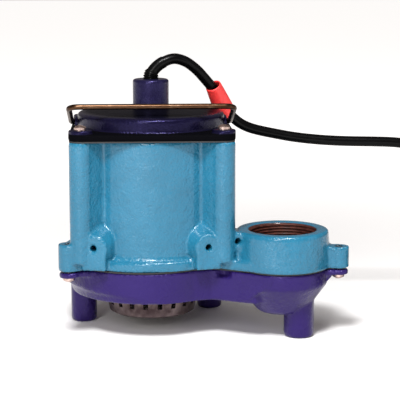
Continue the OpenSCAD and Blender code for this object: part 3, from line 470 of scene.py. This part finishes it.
def plain(
    name, colour, rough=0.5, metallic=0.0, grain=1.2, depth=0.03, contrast=0.15, scale=(1, 1, 1)
):
    """A simple worked surface: two tones, a fine grain and an uneven gloss."""
    f = Finish(name)
    fine = f.noise(grain, 3, 0.6, scale)
    tone = (f.noise(max(grain * 6, 4.0), 4, 0.6) * 0.6 + fine * 0.4).step(0.3, 0.7)
    f.set(base_color=f.mix(tone, shade(colour, 1 - contrast), shade(colour, 1 + contrast)))
    f.set(roughness=max(rough - 0.06, 0.05) + fine * 0.12, metallic=metallic)
    f.bump(fine, depth, 0.7)
    return f.material


def striped(name, low, high, pitch, turned, rough, metallic, depth):
    """Fine lines, pitch millimetres apart: laminations up the z axis, or turned wires round it."""
    f = Finish(name)
    run = f.around(0.0, 0.0) if turned else f.z
    wander = f.noise(5, 2) * 0.8
    wave = (run * (2 * math.pi / (pitch * MM)) + wander).sin() * 0.5 + 0.5
    f.set(base_color=f.mix(wave * 0.8 + f.noise(2.5) * 0.2, low, high))
    f.set(roughness=rough + wave * 0.1, metallic=metallic)
    f.bump(wave, depth, 0.8)
    return f.material


# ---------- geometry ----------


def dress(mesh, material):
    """Gives a mesh its only material and smooth shading."""
    mesh.materials.clear()
    mesh.materials.append(material)
    mesh.polygons.foreach_set("use_smooth", [True] * len(mesh.polygons))


def paint(material, *nodes):
    """Gives CAD nodes their finished material."""
    for node in nodes:
        dress(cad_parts[node].data, material)


def add_object(name, data):
    """Object with this data, linked into the scene."""
    obj = bpy.data.objects.new(name, data)
    bpy.context.scene.collection.objects.link(obj)
    return obj


def mesh_object(name, points, faces, material):
    """Object of a new mesh, from points in metres and faces."""
    mesh = bpy.data.meshes.new(name)
    mesh.from_pydata(np.asarray(points).tolist(), [], faces)
    mesh.validate()
    dress(mesh, material)
    return add_object(name, mesh)


def casting(name, node, material, voxel, rounding, keep):
    """Copy of a CAD node whose edges are all rounded, as a coated casting's are.

    A voxel grid takes the node's shape, smoothing passes move each of its points halfway to the
    middle of its neighbours, and the share keep of the faces is left.
    """
    work = bmesh.new()
    work.from_mesh(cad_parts[node].data)
    bmesh.ops.remove_doubles(work, verts=work.verts, dist=1e-7)
    sharp = bpy.data.meshes.new(name)
    work.to_mesh(sharp)
    work.free()
    obj = add_object(name, sharp)
    grid = obj.modifiers.new("Grid", "REMESH")
    grid.mode = "VOXEL"
    grid.voxel_size = voxel
    soften = obj.modifiers.new("Soften", "SMOOTH")
    soften.factor = 0.5
    soften.iterations = rounding
    thin = obj.modifiers.new("Thin", "DECIMATE")
    thin.ratio = keep
    even = obj.modifiers.new("Even", "WEIGHTED_NORMAL")
    even.weight = 80
    bpy.context.view_layer.update()
    ready = obj.evaluated_get(bpy.context.evaluated_depsgraph_get())
    rounded = bpy.data.meshes.new_from_object(ready)
    obj.modifiers.clear()
    obj.data = rounded
    bpy.data.meshes.remove(sharp)
    rounded.name = name
    dress(rounded, material)
    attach(obj, "pump")
    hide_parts(node)


def smooth_path(points, between):
    """Catmull-Rom curve through the points.

    Each stretch is a cubic of its two points and their neighbours, with the slope at a point
    half of the way from the one before it to the one after; the ends are mirrored outwards.
    """
    p = np.array([tuple(point) for point in points], float)
    ends = np.vstack([2 * p[0] - p[1], p, 2 * p[-1] - p[-2]])
    near = np.stack([ends[k : k + len(p) - 1] for k in range(4)])
    t = np.arange(between) / between
    weights = np.stack(
        [-t + 2 * t**2 - t**3, 2 - 5 * t**2 + 3 * t**3, t + 4 * t**2 - 3 * t**3, t**3 - t**2]
    )
    inner = np.einsum("kt,knd->ntd", weights / 2, near).reshape(-1, 3)
    return np.vstack([inner, p[-1:]])


def rings(centres, side, over, radii):
    """Points of a row of rings: centre + radius * (cos a * side + sin a * over).

    The angle a goes once round each ring, side and over are the directions of its plane, one pair
    for all rings or one for each, and radii has a row for each ring and a radius for each point.
    """
    a = 2 * math.pi * np.arange(radii.shape[1]) / radii.shape[1]
    spokes = np.cos(a)[:, None] * side[..., None, :] + np.sin(a)[:, None] * over[..., None, :]
    return (centres[:, None] + radii[..., None] * spokes).reshape(-1, 3)


def grid_faces(rows, columns, around=True, ring=False):
    """Faces of a grid of points, row by row, each between two columns and two rows.

    around joins the last column to the first one, and ring the last row to the first one.
    """
    row, k = np.meshgrid(
        np.arange(rows if ring else rows - 1),
        np.arange(columns if around else columns - 1),
        indexing="ij",
    )
    here, ahead, beside = row * columns, (row + 1) % rows * columns, (k + 1) % columns
    corners = [here + k, here + beside, ahead + beside, ahead + k]
    return np.stack(corners, -1).reshape(-1, 4).tolist()


# ---------- the cord ----------

# The strain relief bends in an upright plane that is turned by SWING from the x axis: first on the
# radius RELIEF_BEND up to a lean of LEAN_CHANGE degrees, then on ARCH_BEND up to LEAN_TIP
RELIEF_BEND, ARCH_BEND, LEAN_CHANGE, LEAN_TIP = 10.0, 22.0, 40.0, 65.0
SWING = math.radians(8.0)
NUT_TOP = 184.0
NUT_BORE = 172.0


def relief_points(lean):
    """Middle of the strain relief where it leans by lean degrees, which may be an array.

    An arc of radius r from lean a to lean b goes r * (cos a - cos b) out and r * (sin b - sin a)
    up, and the two arcs' ways are added from the nut's top on.
    """
    change = math.radians(LEAN_CHANGE)
    first = np.radians(np.minimum(lean, LEAN_CHANGE))
    second = np.radians(np.maximum(lean, LEAN_CHANGE))
    out = RELIEF_BEND * (1 - np.cos(first)) + ARCH_BEND * (math.cos(change) - np.cos(second))
    up = RELIEF_BEND * np.sin(first) + ARCH_BEND * (np.sin(second) - math.sin(change))
    return np.stack([out * math.cos(SWING), out * math.sin(SWING), NUT_TOP + up], -1)


# Points of the cord from the relief over the edge of the cap, to the right and down to the floor
LEAD = (
    (14.5, 2, 198), (19.5, 3.2, 198.2), (26, 5.8, 195.9), (31.5, 9.2, 192), (36, 12.5, 187.8),
    (39.5, 15.5, 183.8), (43, 18.5, 179.7), (46.5, 21.5, 175.5), (50, 24.5, 170.5),
    (53.3, 27.5, 165.2), (56.5, 30, 160), (60, 31.8, 155), (64, 33, 150.6), (68.5, 33.7, 147),
    (73.5, 34, 144.3), (79, 34.3, 142.3), (86, 34.6, 140.5), (96, 34.9, 138.4),
    (107.5, 35, 136.2), (119, 35, 134.6), (131, 35, 133.4), (143, 35, 132.6), (156, 35, 132.1),
    (170, 35, 131.8), (183, 35, 131.4), (192, 35, 130.7), (201, 35, 129.2), (209.5, 35, 125.7),
    (216.5, 35, 120.2), (222, 35, 113.2), (226, 35, 104.7), (229, 35, 92.5), (232.5, 35, 80),
    (235.5, 35, 68), (239, 35, 56.5), (242.5, 35, 48), (248, 35, 40.5), (255.5, 35, 35),
    (264, 35, 31.5),
)
LAYERS = 4
LAYER_TURNS = 2.1875
RINGS = 24  # points to a turn of the coil
PITCH = CORD_D + 0.5
COIL_MID = 47.5
COIL_OUT = COIL_MID + LAYER_TURNS * PITCH / 2
COIL_LIFT = 0.8  # thickness of the tie's band, under the lowest layer
TIE_GAP = 0.15
COIL_TOP = COIL_LIFT + TIE_GAP + CORD_D / 2 + (LAYERS - 1) * PITCH
COIL_AT = (282.0, 35.0 - COIL_OUT)
STEP_DOWN = 0.25  # turns before and after a layer's end on which the cord steps down
PLUG_Z = 13.0
# From the coil to the plug: ways along y with the rise over the lowest layer, then with heights
TAIL_RISES = ((8, 0.4), (15, 1.8), (22, 4), (29, 6.4))
TAIL_END = ((36, PLUG_Z - 0.3), (43, PLUG_Z))


def coil_points(turn):
    """Middle of the cord after turn turns of the coil, which is an array.

    The radius goes in and out between COIL_OUT and LAYER_TURNS pitches less, one layer in and the
    next one out. The height steps down by a pitch where a layer ends.
    """
    share = turn / LAYER_TURNS
    inward = np.abs(share - 2 * np.round(share / 2))
    joint = np.floor(share + 0.5)
    off = turn - joint * LAYER_TURNS
    ramp = joint - 1 + (off + STEP_DOWN) / (2 * STEP_DOWN)
    level = np.where(np.abs(off) < STEP_DOWN, ramp, np.where(off < 0, joint - 1, joint))
    level = np.where((joint < 1) | (joint > LAYERS - 1), np.floor(share), level)
    level = np.clip(level, 0, LAYERS - 1)
    r = COIL_OUT - inward * LAYER_TURNS * PITCH
    a = np.radians(90 - 360 * turn)
    x, y = COIL_AT[0] + r * np.cos(a), COIL_AT[1] + r * np.sin(a)
    return np.stack([x, y, COIL_TOP - level * PITCH], -1)


def cord_route():
    """Points of the whole cord: the lead, a run into the coil, the coil, a run out and the tail."""
    coil = coil_points(np.arange(round(LAYERS * LAYER_TURNS * RINGS) + 1) / RINGS)
    start = coil[0] - (CORD_D, 0, 0)
    end = coil[-1] + (0, CORD_D, 0)
    tail = [(end[0], end[1] + along, end[2] + rise) for along, rise in TAIL_RISES]
    tail += [(end[0], end[1] + along, z) for along, z in TAIL_END]
    points = np.vstack([relief_points(LEAN_TIP), LEAD, start, coil, end, tail])
    return [Vector(point) for point in placed(points)]


ROUTE = cord_route()


class SUMP_PUMP_OT_camera(bpy.types.Operator):
    """Camera in front of the pump, a little above it."""

    bl_idname = "sump_pump.camera"
    bl_label = "Camera"

    STANDS = (-16.16, -1000.53, 268.0)
    RIGHT = (0.99862953, -0.05233596, 0.0)
    UP = (0.00899807, 0.17169348, 0.98510933)

    def execute(self, context):
        data = bpy.data.cameras.new("camera")
        data.lens = context.scene.sump_pump_stage.lens
        data.sensor_width = 36.0
        data.clip_end = 50.0
        camera = add_object("camera", data)
        right, up = Vector(self.RIGHT), Vector(self.UP)
        turn = Matrix((right, up, right.cross(up))).transposed().to_4x4()
        camera.matrix_world = Matrix.Translation(placed(self.STANDS)) @ turn
        context.scene.camera = camera
        return {"FINISHED"}


class SUMP_PUMP_OT_cord(bpy.types.Operator):
    """Supply cord with its coil, the strain relief, the red hood, the tie and the plug."""

    bl_idname = "sump_pump.cord"
    bl_label = "Cord"

    def execute(self, context):
        settings = context.scene.sump_pump_cord
        black = jacket()
        cord = self.cord(black, smooth_path(ROUTE, settings.between))
        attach(cord, "pump")
        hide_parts("cord_lead", "cord_coil", "cord_tail")
        self.relief(black)
        hood = self.hood(vinyl(settings.hood_colour))
        tie = self.tie(plain("tie_band", (0.02, 0.02, 0.022), 0.55, grain=0.8, depth=0.08))
        moulding = plain("plug_moulding", (0.012, 0.012, 0.013), 0.42, grain=0.9, depth=0.05)
        plug = self.plug(moulding)
        brass = plain("blade_brass", (0.72, 0.55, 0.30), 0.28, 1.0, grain=1.0, depth=0.02)
        paint(brass, "plug_blades", "plug_ground_pin")
        return {"FINISHED"}

    def cord(self, material, path):
        """Round tube on the path, as a curve."""
        curve = bpy.data.curves.new("supply_cord", "CURVE")
        curve.dimensions = "3D"
        curve.bevel_depth = CORD_D / 2 * MM
        curve.bevel_resolution = 6
        curve.use_fill_caps = True
        spline = curve.splines.new("POLY")
        spline.points.add(len(path) - 1)
        spline.points.foreach_set("co", np.hstack([path, np.ones((len(path), 1))]).ravel())
        spline.use_smooth = True
        curve.materials.append(material)
        return add_object("supply_cord", curve)

    def relief(self, material):
        """Moulded strain relief: a collar in the nut, then a ribbed sleeve that leans and tapers.

        Its middle runs up the nut and then along relief_points. Its radius falls evenly from the
        sleeve's to the tip's on the way between two leans, and a sine of the lean adds the ribs.
        """
        collar_r, sleeve_r, tip_r = 5.2, 5.35, CORD_D / 2 + 0.4
        taper_from, taper_over = 24, 8
        ribs_from, ribs_to, rib_spacing, rib_height = 2, 23, 7.0, 0.35
        steps, sides = 97, 40
        lean = np.linspace(0.0, LEAN_TIP, steps)
        collar = [(0.0, 0.0, NUT_BORE), (0.0, 0.0, NUT_TOP - 1.0)]
        path = placed(np.vstack([collar, relief_points(lean)]))
        taper = np.clip((lean - taper_from) / taper_over, 0.0, 1.0)
        ribs = rib_height * np.sin(lean * 2 * math.pi / rib_spacing)
        ribs = np.where((lean > ribs_from) & (lean < ribs_to), ribs, 0.0)
        sleeve = sleeve_r + (tip_r - sleeve_r) * taper + ribs
        radii = np.concatenate([[collar_r, collar_r], sleeve]) * MM
        along = np.gradient(path, axis=0)
        along /= np.linalg.norm(along, axis=1)[:, None]
        square = np.array((-math.sin(SWING), math.cos(SWING), 0.0))  # to the plane of the bend
        side = np.cross(square, along) * math.cos(SWING) - square * math.sin(SWING)
        verts = rings(path, side, np.cross(along, side), np.tile(radii[:, None], sides))
        faces = grid_faces(len(path), sides)
        last = (len(path) - 1) * sides
        faces += [list(range(sides))[::-1], list(range(last, last + sides))]
        obj = mesh_object("strain_relief_sleeve", verts, faces, material)
        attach(obj, "pump")
        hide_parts("strain_relief")

    def hood(self, material):
        """Loose vinyl hood: a thin sleeve that flares towards its open lower end.

        Its outer radius grows from the top's to the mouth's with the 0.85th power of the share of
        the way, and the inner one is a wall less. Round a ring, two and three waves that grow
        with that share take it out of round. A narrower ring rounds each rim.
        """
        top, bottom = placed(((47.3, 20.8, 176.8), (57.4, 33.0, 155.0)))
        top_r, shade_r, top_rim_r, mouth_rim_r, wall = 5.95, 8.0, 5.3, 7.6, 0.8
        rows, sides = 27, 48
        way = np.linspace(0.0, 1.0, rows)
        outer = top_r + (shade_r - top_r) * way**0.85
        share = np.concatenate([[0.0], way, [1.0], way[::-1]])[:, None]
        radii = np.concatenate([[top_rim_r], outer, [mouth_rim_r], outer[::-1] - wall])[:, None]
        a = 2 * math.pi * np.arange(sides) / sides
        waves = 0.02 * np.cos(2 * a + 0.6) + 0.012 * np.cos(3 * a + share * 2)
        radii = radii * (1 + share * waves)
        axis = (bottom - top) / np.linalg.norm(bottom - top)
        side = np.cross(axis, (0.0, 1.0, 0.0))
        side /= np.linalg.norm(side)
        verts = rings(top + (bottom - top) * share, side, np.cross(axis, side), radii * MM)
        obj = mesh_object("vinyl_hood", verts, grid_faces(len(share), sides, ring=True), material)
        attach(obj, "pump")
        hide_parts("cord_hood")
        return obj

    def tie(self, material):
        """Flat band round the turns of the coil, with rounded corners.

        Its loop is four quarter circles round the corners of a rectangle. At each point of the
        loop the band's bevelled section is laid across it: its width along y and its thickness
        along the loop's normal, which is square to the line between the two neighbours.
        """
        slack, corner_r, corner_steps = 0.4, 3.4, 9
        reach = CORD_D / 2 + TIE_GAP
        half_w = LAYER_TURNS * PITCH / 2 + reach + slack - corner_r
        half_h = (LAYERS - 1) * PITCH / 2 + reach + slack - corner_r
        height = COIL_LIFT + reach + (LAYERS - 1) * PITCH / 2
        middle = placed((COIL_AT[0] + COIL_MID, COIL_AT[1], height))
        a = np.radians(90 * (np.arange(4)[:, None] + np.linspace(0.0, 1.0, corner_steps)))
        x = np.array([1, -1, -1, 1])[:, None] * half_w + corner_r * np.cos(a)
        z = np.array([1, 1, -1, -1])[:, None] * half_h + corner_r * np.sin(a)
        loop = np.stack([x.ravel(), z.ravel()], -1)
        along = np.roll(loop, -1, axis=0) - np.roll(loop, 1, axis=0)
        along /= np.linalg.norm(along, axis=1)[:, None]
        inner_half = np.array([(-4.0, -0.15), (-3.8, -0.4), (3.8, -0.4), (4.0, -0.15)])
        width, thick = np.vstack([inner_half, -inner_half]).T
        verts = np.stack(
            [
                loop[:, :1] + along[:, 1:] * thick,
                np.broadcast_to(width, (len(loop), len(width))),
                loop[:, 1:] - along[:, :1] * thick,
            ],
            -1,
        )
        faces = grid_faces(len(loop), len(width), ring=True)
        obj = mesh_object("coil_tie_band", middle + verts.reshape(-1, 3) * MM, faces, material)
        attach(obj, "pump")
        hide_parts("coil_tie")
        return obj

    def plug(self, material):
        """Moulded plug, turned about y: ribbed neck, waisted grip and a face with a rounded rim.

        Its profile lists the distance along the axis and the radius. The neck repeats one rib,
        each a step further along and a little thicker.
        """
        end = [(0.0, 0.0), (0.0, 4.6), (0.6, 5.3)]
        rib = np.array([(1.2, 5.45), (1.65, 4.85), (2.1, 4.85), (2.5, 5.5)])
        neck = rib + np.arange(5)[:, None, None] * (1.7, 0.12)
        flare = [(10.2, 6.2), (13.5, 7.4), (17.0, 8.9), (19.5, 10.6), (22.0, 12.4)]
        grip = [(24.0, 12.95), (26.0, 13.0), (29.0, 12.7), (32.0, 12.6), (36.0, 12.8)]
        face = [(38.5, 13.0), (40.5, 12.8), (41.6, 12.0), (42.0, 10.9), (42.0, 0.0)]
        along, radii = (np.vstack([end, neck.reshape(-1, 2), flare, grip, face]) * MM).T
        sides = 56
        centres = np.array(ROUTE[-1]) + along[:, None] * (0.0, 1.0, 0.0)
        side, over = np.array(((1.0, 0.0, 1.0), (1.0, 0.0, -1.0))) * math.sqrt(0.5)
        verts = rings(centres, side, over, np.tile(radii[:, None], sides))
        obj = mesh_object("plug_moulding", verts, grid_faces(len(along), sides), material)
        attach(obj, "pump")
        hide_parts("plug_body")
        return obj


# ---------- castings ----------


class SUMP_PUMP_OT_housing(bpy.types.Operator):
    """Motor housing casting with the pipe thread in its outlet."""

    bl_idname = "sump_pump.housing"
    bl_label = "Motor housing"

    def execute(self, context):
        s = context.scene.sump_pump_casting
        coat = housing_epoxy(s.housing_colour)
        casting("motor_housing_casting", "motor_housing", coat, s.voxel, s.rounding, s.keep)
        self.thread(thread_rust())
        return {"FINISHED"}

    def thread(self, material):
        """Ridge of the pipe thread on the wall of the bore, as a helix.

        Each step of the helix turns by an equal angle and goes down by that share of the pitch.
        There it carries the ridge's section: steps along the axis, and from the wall inwards,
        where the ridge rises evenly over the first steps and falls over the last ones.
        """
        pitch, turns, steps, fade_steps = 2.2, 8, 96, 20
        first_z = OUTLET_TOP - 1.6
        section = np.array(((-0.95, 0.25), (-0.12, -1.0), (0.12, -1.0), (0.95, 0.25)))
        i = np.arange(turns * steps + 1)[:, None]
        a = 2 * math.pi * i / steps
        fade = np.clip(np.minimum(i, i[::-1]) / fade_steps, 0.0, 1.0)
        up, out = section.T
        r = THREAD_R + np.where(out > 0, out, out * fade)
        x, y = OUTLET[0] + r * np.cos(a), OUTLET[1] + r * np.sin(a)
        verts = placed(np.stack([x, y, first_z - pitch * i / steps + up], -1).reshape(-1, 3))
        faces = grid_faces(len(i), len(section), around=False)
        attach(mesh_object("outlet_thread", verts, faces, material), "pump")


class SUMP_PUMP_OT_volute(bpy.types.Operator):
    """Volute casting on its three legs."""

    bl_idname = "sump_pump.volute"
    bl_label = "Volute"

    def execute(self, context):
        s = context.scene.sump_pump_casting
        coat = epoxy("volute_epoxy", s.volute_colour, sheen=(0.5, 0.4, 1.0), peel=0.5).material
        casting("volute_casting", "volute", coat, s.voxel, s.rounding, s.keep)
        return {"FINISHED"}


class SUMP_PUMP_OT_cap(bpy.types.Operator):
    """Cap casting and the cord nut on it, both with finer edges than the large castings."""

    bl_idname = "sump_pump.cap"
    bl_label = "Cap"

    def execute(self, context):
        s = context.scene.sump_pump_casting
        coat = cap_epoxy(s.cap_colour)
        casting("cap_casting", "cap", coat, voxel=0.8 * MM, rounding=4, keep=s.keep)
        lighter = shade(s.cap_colour, 1.9)
        coat = epoxy("nut_epoxy", lighter, sheen=(0.4, 0.34, 1.0), peel=0.25).material
        casting("cord_nut_turned", "cord_nut", coat, voxel=0.5 * MM, rounding=3, keep=0.3)
        return {"FINISHED"}


class SUMP_PUMP_OT_handle(bpy.types.Operator):
    """Wire handle."""

    bl_idname = "sump_pump.handle"
    bl_label = "Handle"

    def execute(self, context):
        paint(wire_steel(), "handle")
        return {"FINISHED"}


class SUMP_PUMP_OT_fasteners(bpy.types.Operator):
    """Screws, gaskets and strainer."""

    bl_idname = "sump_pump.fasteners"
    bl_label = "Fasteners and strainer"

    def execute(self, context):
        paint(screw_steel(), "cap_screws", "volute_screws", "strainer_screws")
        rubber = plain("gasket_rubber", (0.011, 0.011, 0.012), 0.6, grain=0.7, depth=0.05)
        paint(rubber, "cap_gasket", "volute_gasket")
        paint(sheet_steel(), "strainer")
        return {"FINISHED"}


class SUMP_PUMP_OT_motor(bpy.types.Operator):
    """Motor, seal and impeller inside."""

    bl_idname = "sump_pump.motor"
    bl_label = "Motor and impeller"

    def execute(self, context):
        stack = striped(
            "stack_steel",
            (0.05, 0.05, 0.052),
            (0.17, 0.172, 0.18),
            pitch=0.5,
            turned=False,
            rough=0.42,
            metallic=0.8,
            depth=0.06,
        )
        paint(stack, "stator_core", "rotor_core")
        copper = striped(
            "winding_copper",
            (0.20, 0.055, 0.018),
            (0.62, 0.25, 0.09),
            pitch=0.8,
            turned=True,
            rough=0.35,
            metallic=0.7,
            depth=0.2,
        )
        paint(copper, "lower_winding", "upper_winding")
        insulation = plain("lead_insulation", (0.72, 0.69, 0.62), 0.45, grain=0.8)
        paint(insulation, "motor_leads")
        case = plain("protector_case", (0.52, 0.46, 0.34), 0.5, grain=1.0, depth=0.05)
        paint(case, "thermal_protector")
        cage = plain("cage_aluminium", (0.56, 0.57, 0.58), 0.5, 0.9, grain=0.9, depth=0.08)
        paint(cage, "rotor_cage")
        steel = plain(
            "shaft_steel",
            (0.52, 0.53, 0.55),
            0.2,
            1.0,
            grain=0.5,
            depth=0.01,
            contrast=0.06,
            scale=(1, 1, 12),
        )
        paint(steel, "motor_shaft")
        bronze = plain("bearing_bronze", (0.40, 0.21, 0.075), 0.42, 0.9, grain=0.4, depth=0.03)
        paint(bronze, "upper_bearing", "lower_bearing")
        washer = plain("washer_steel", (0.5, 0.47, 0.38), 0.3, 0.9, grain=0.6, depth=0.02)
        paint(washer, "thrust_washer")
        bracket = plain("bracket_casting", (0.36, 0.37, 0.38), 0.55, 0.7, grain=1.3, depth=0.12)
        paint(bracket, "bearing_bracket")
        zinc = plain("bolt_zinc", (0.36, 0.34, 0.28), 0.36, 0.9, grain=0.8, depth=0.03)
        paint(zinc, "stator_bolts")
        ceramic = (0.78, 0.74, 0.64)
        seat = plain("seat_ceramic", ceramic, 0.25, grain=0.6, depth=0.01, contrast=0.05)
        paint(seat, "seal_seat")
        rubber = plain("seal_rubber", (0.018, 0.018, 0.02), 0.55, grain=0.7, depth=0.05)
        paint(rubber, "seal_head")
        polymer = plain("impeller_polymer", (0.035, 0.035, 0.04), 0.45, grain=0.9, depth=0.06)
        paint(polymer, "impeller")
        brass = plain("nut_brass", (0.5, 0.34, 0.13), 0.32, 0.95, grain=0.7, depth=0.03)
        paint(brass, "impeller_nut")
        return {"FINISHED"}


# ---------- stage ----------


class SUMP_PUMP_OT_stage(bpy.types.Operator):
    """Pale floor and soft studio light."""

    bl_idname = "sump_pump.stage"
    bl_label = "Stage"

    PUMP_MIDDLE = (0.0, 0.0, 0.1)
    # Each light's name, place and aim, its width and height, the setting of its power and the
    # factor on it, and its colour; all places on the stage are in metres
    LIGHTS = (
        ("key", (-0.5, -1.2, 0.6), PUMP_MIDDLE, (0.4, 0.7), "key", 1.0, (1, 0.99, 0.97)),
        ("spark", (-0.2, -0.8, 1.1), PUMP_MIDDLE, (0.26, 0.26), "key", 2.2, (1, 1, 1)),
        ("fill", (1.1, -0.6, 0.5), PUMP_MIDDLE, (0.4, 0.9), "fill", 1.0, (0.97, 0.98, 1)),
        ("top", (-0.05, -0.75, 1.4), (0.05, -0.1, 0), (0.9, 0.6), "top", 1.0, (1, 1, 1)),
    )
    WORLD_COLOUR = (1.0, 0.91, 0.86, 1.0)
    FLOOR_REACH = 9.0
    GLOW_FROM, GLOW_FULL = 0.2, 1.05  # distances from the pump

    def light(self, name, place, aim, size, power, colour):
        """Rectangular light that faces aim."""
        data = bpy.data.lights.new(name, "AREA")
        data.energy = power
        data.color = colour
        data.shape = "RECTANGLE"
        data.size, data.size_y = size
        obj = add_object(name, data)
        obj.location = place
        obj.rotation_euler = (Vector(aim) - Vector(place)).to_track_quat("-Z", "Y").to_euler()

    def floor_finish(self, settings):
        """Matt floor that gives off light by itself away from the pump, where no shadow falls."""
        f = Finish("floor")
        colour = settings.floor_colour
        f.set(base_color=f.mix(f.noise(900, 2), shade(colour, 0.99), colour))
        far = f.around(*ORIGIN[:2]).step(self.GLOW_FROM, self.GLOW_FULL)
        f.set(emission_color=f.mix(far, (0.0, 0.0, 0.0), (1.0, 0.995, 0.985)))
        f.set(roughness=0.75, specular_ior_level=0.2, emission_strength=settings.glow)
        return f.material

    def execute(self, context):
        settings = context.scene.sump_pump_stage
        context.scene.view_settings.view_transform = "Standard"
        world = bpy.data.worlds.new("studio")
        world.use_nodes = True
        background = world.node_tree.nodes["Background"]
        background.inputs["Color"].default_value = self.WORLD_COLOUR
        background.inputs["Strength"].default_value = settings.sky
        context.scene.world = world
        for name, place, aim, size, power, factor, colour in self.LIGHTS:
            self.light(name, place, aim, size, getattr(settings, power) * factor, colour)
        reach = self.FLOOR_REACH
        corners = [(-reach, -reach, 0), (reach, -reach, 0), (reach, reach, 0), (-reach, reach, 0)]
        floor = mesh_object("floor", corners, [(0, 1, 2, 3)], self.floor_finish(settings))
        return {"FINISHED"}


STEPS = (
    SUMP_PUMP_OT_camera,
    SUMP_PUMP_OT_cord,
    SUMP_PUMP_OT_housing,
    SUMP_PUMP_OT_volute,
    SUMP_PUMP_OT_cap,
    SUMP_PUMP_OT_handle,
    SUMP_PUMP_OT_fasteners,
    SUMP_PUMP_OT_motor,
    SUMP_PUMP_OT_stage,
)
GROUPS = (
    ("sump_pump_casting", SumpPumpCasting),
    ("sump_pump_cord", SumpPumpCord),
    ("sump_pump_stage", SumpPumpStage),
)


class SUMP_PUMP_PT_panel(bpy.types.Panel):
    """Settings and steps in the sidebar."""

    bl_idname = "SUMP_PUMP_PT_panel"
    bl_label = "Sump Pump"
    bl_space_type = "VIEW_3D"
    bl_region_type = "UI"
    bl_category = "Sump Pump"

    def draw(self, context):
        for name, group in GROUPS:
            box = self.layout.box()
            box.label(text=group.__doc__)
            for key in group.__annotations__:
                box.prop(getattr(context.scene, name), key)
        for step in STEPS:
            self.layout.operator(step.bl_idname)


def register():
    for name, group in GROUPS:
        bpy.utils.register_class(group)
        setattr(bpy.types.Scene, name, bpy.props.PointerProperty(type=group))
    for step in STEPS:
        bpy.utils.register_class(step)
    bpy.utils.register_class(SUMP_PUMP_PT_panel)


def unregister():
    bpy.utils.unregister_class(SUMP_PUMP_PT_panel)
    for step in reversed(STEPS):
        bpy.utils.unregister_class(step)
    for name, group in reversed(GROUPS):
        delattr(bpy.types.Scene, name)
        bpy.utils.unregister_class(group)


def main():
    register()
    for step in STEPS:
        group, call = step.bl_idname.split(".")
        getattr(getattr(bpy.ops, group), call)()


if __name__ == "__main__":
    main()
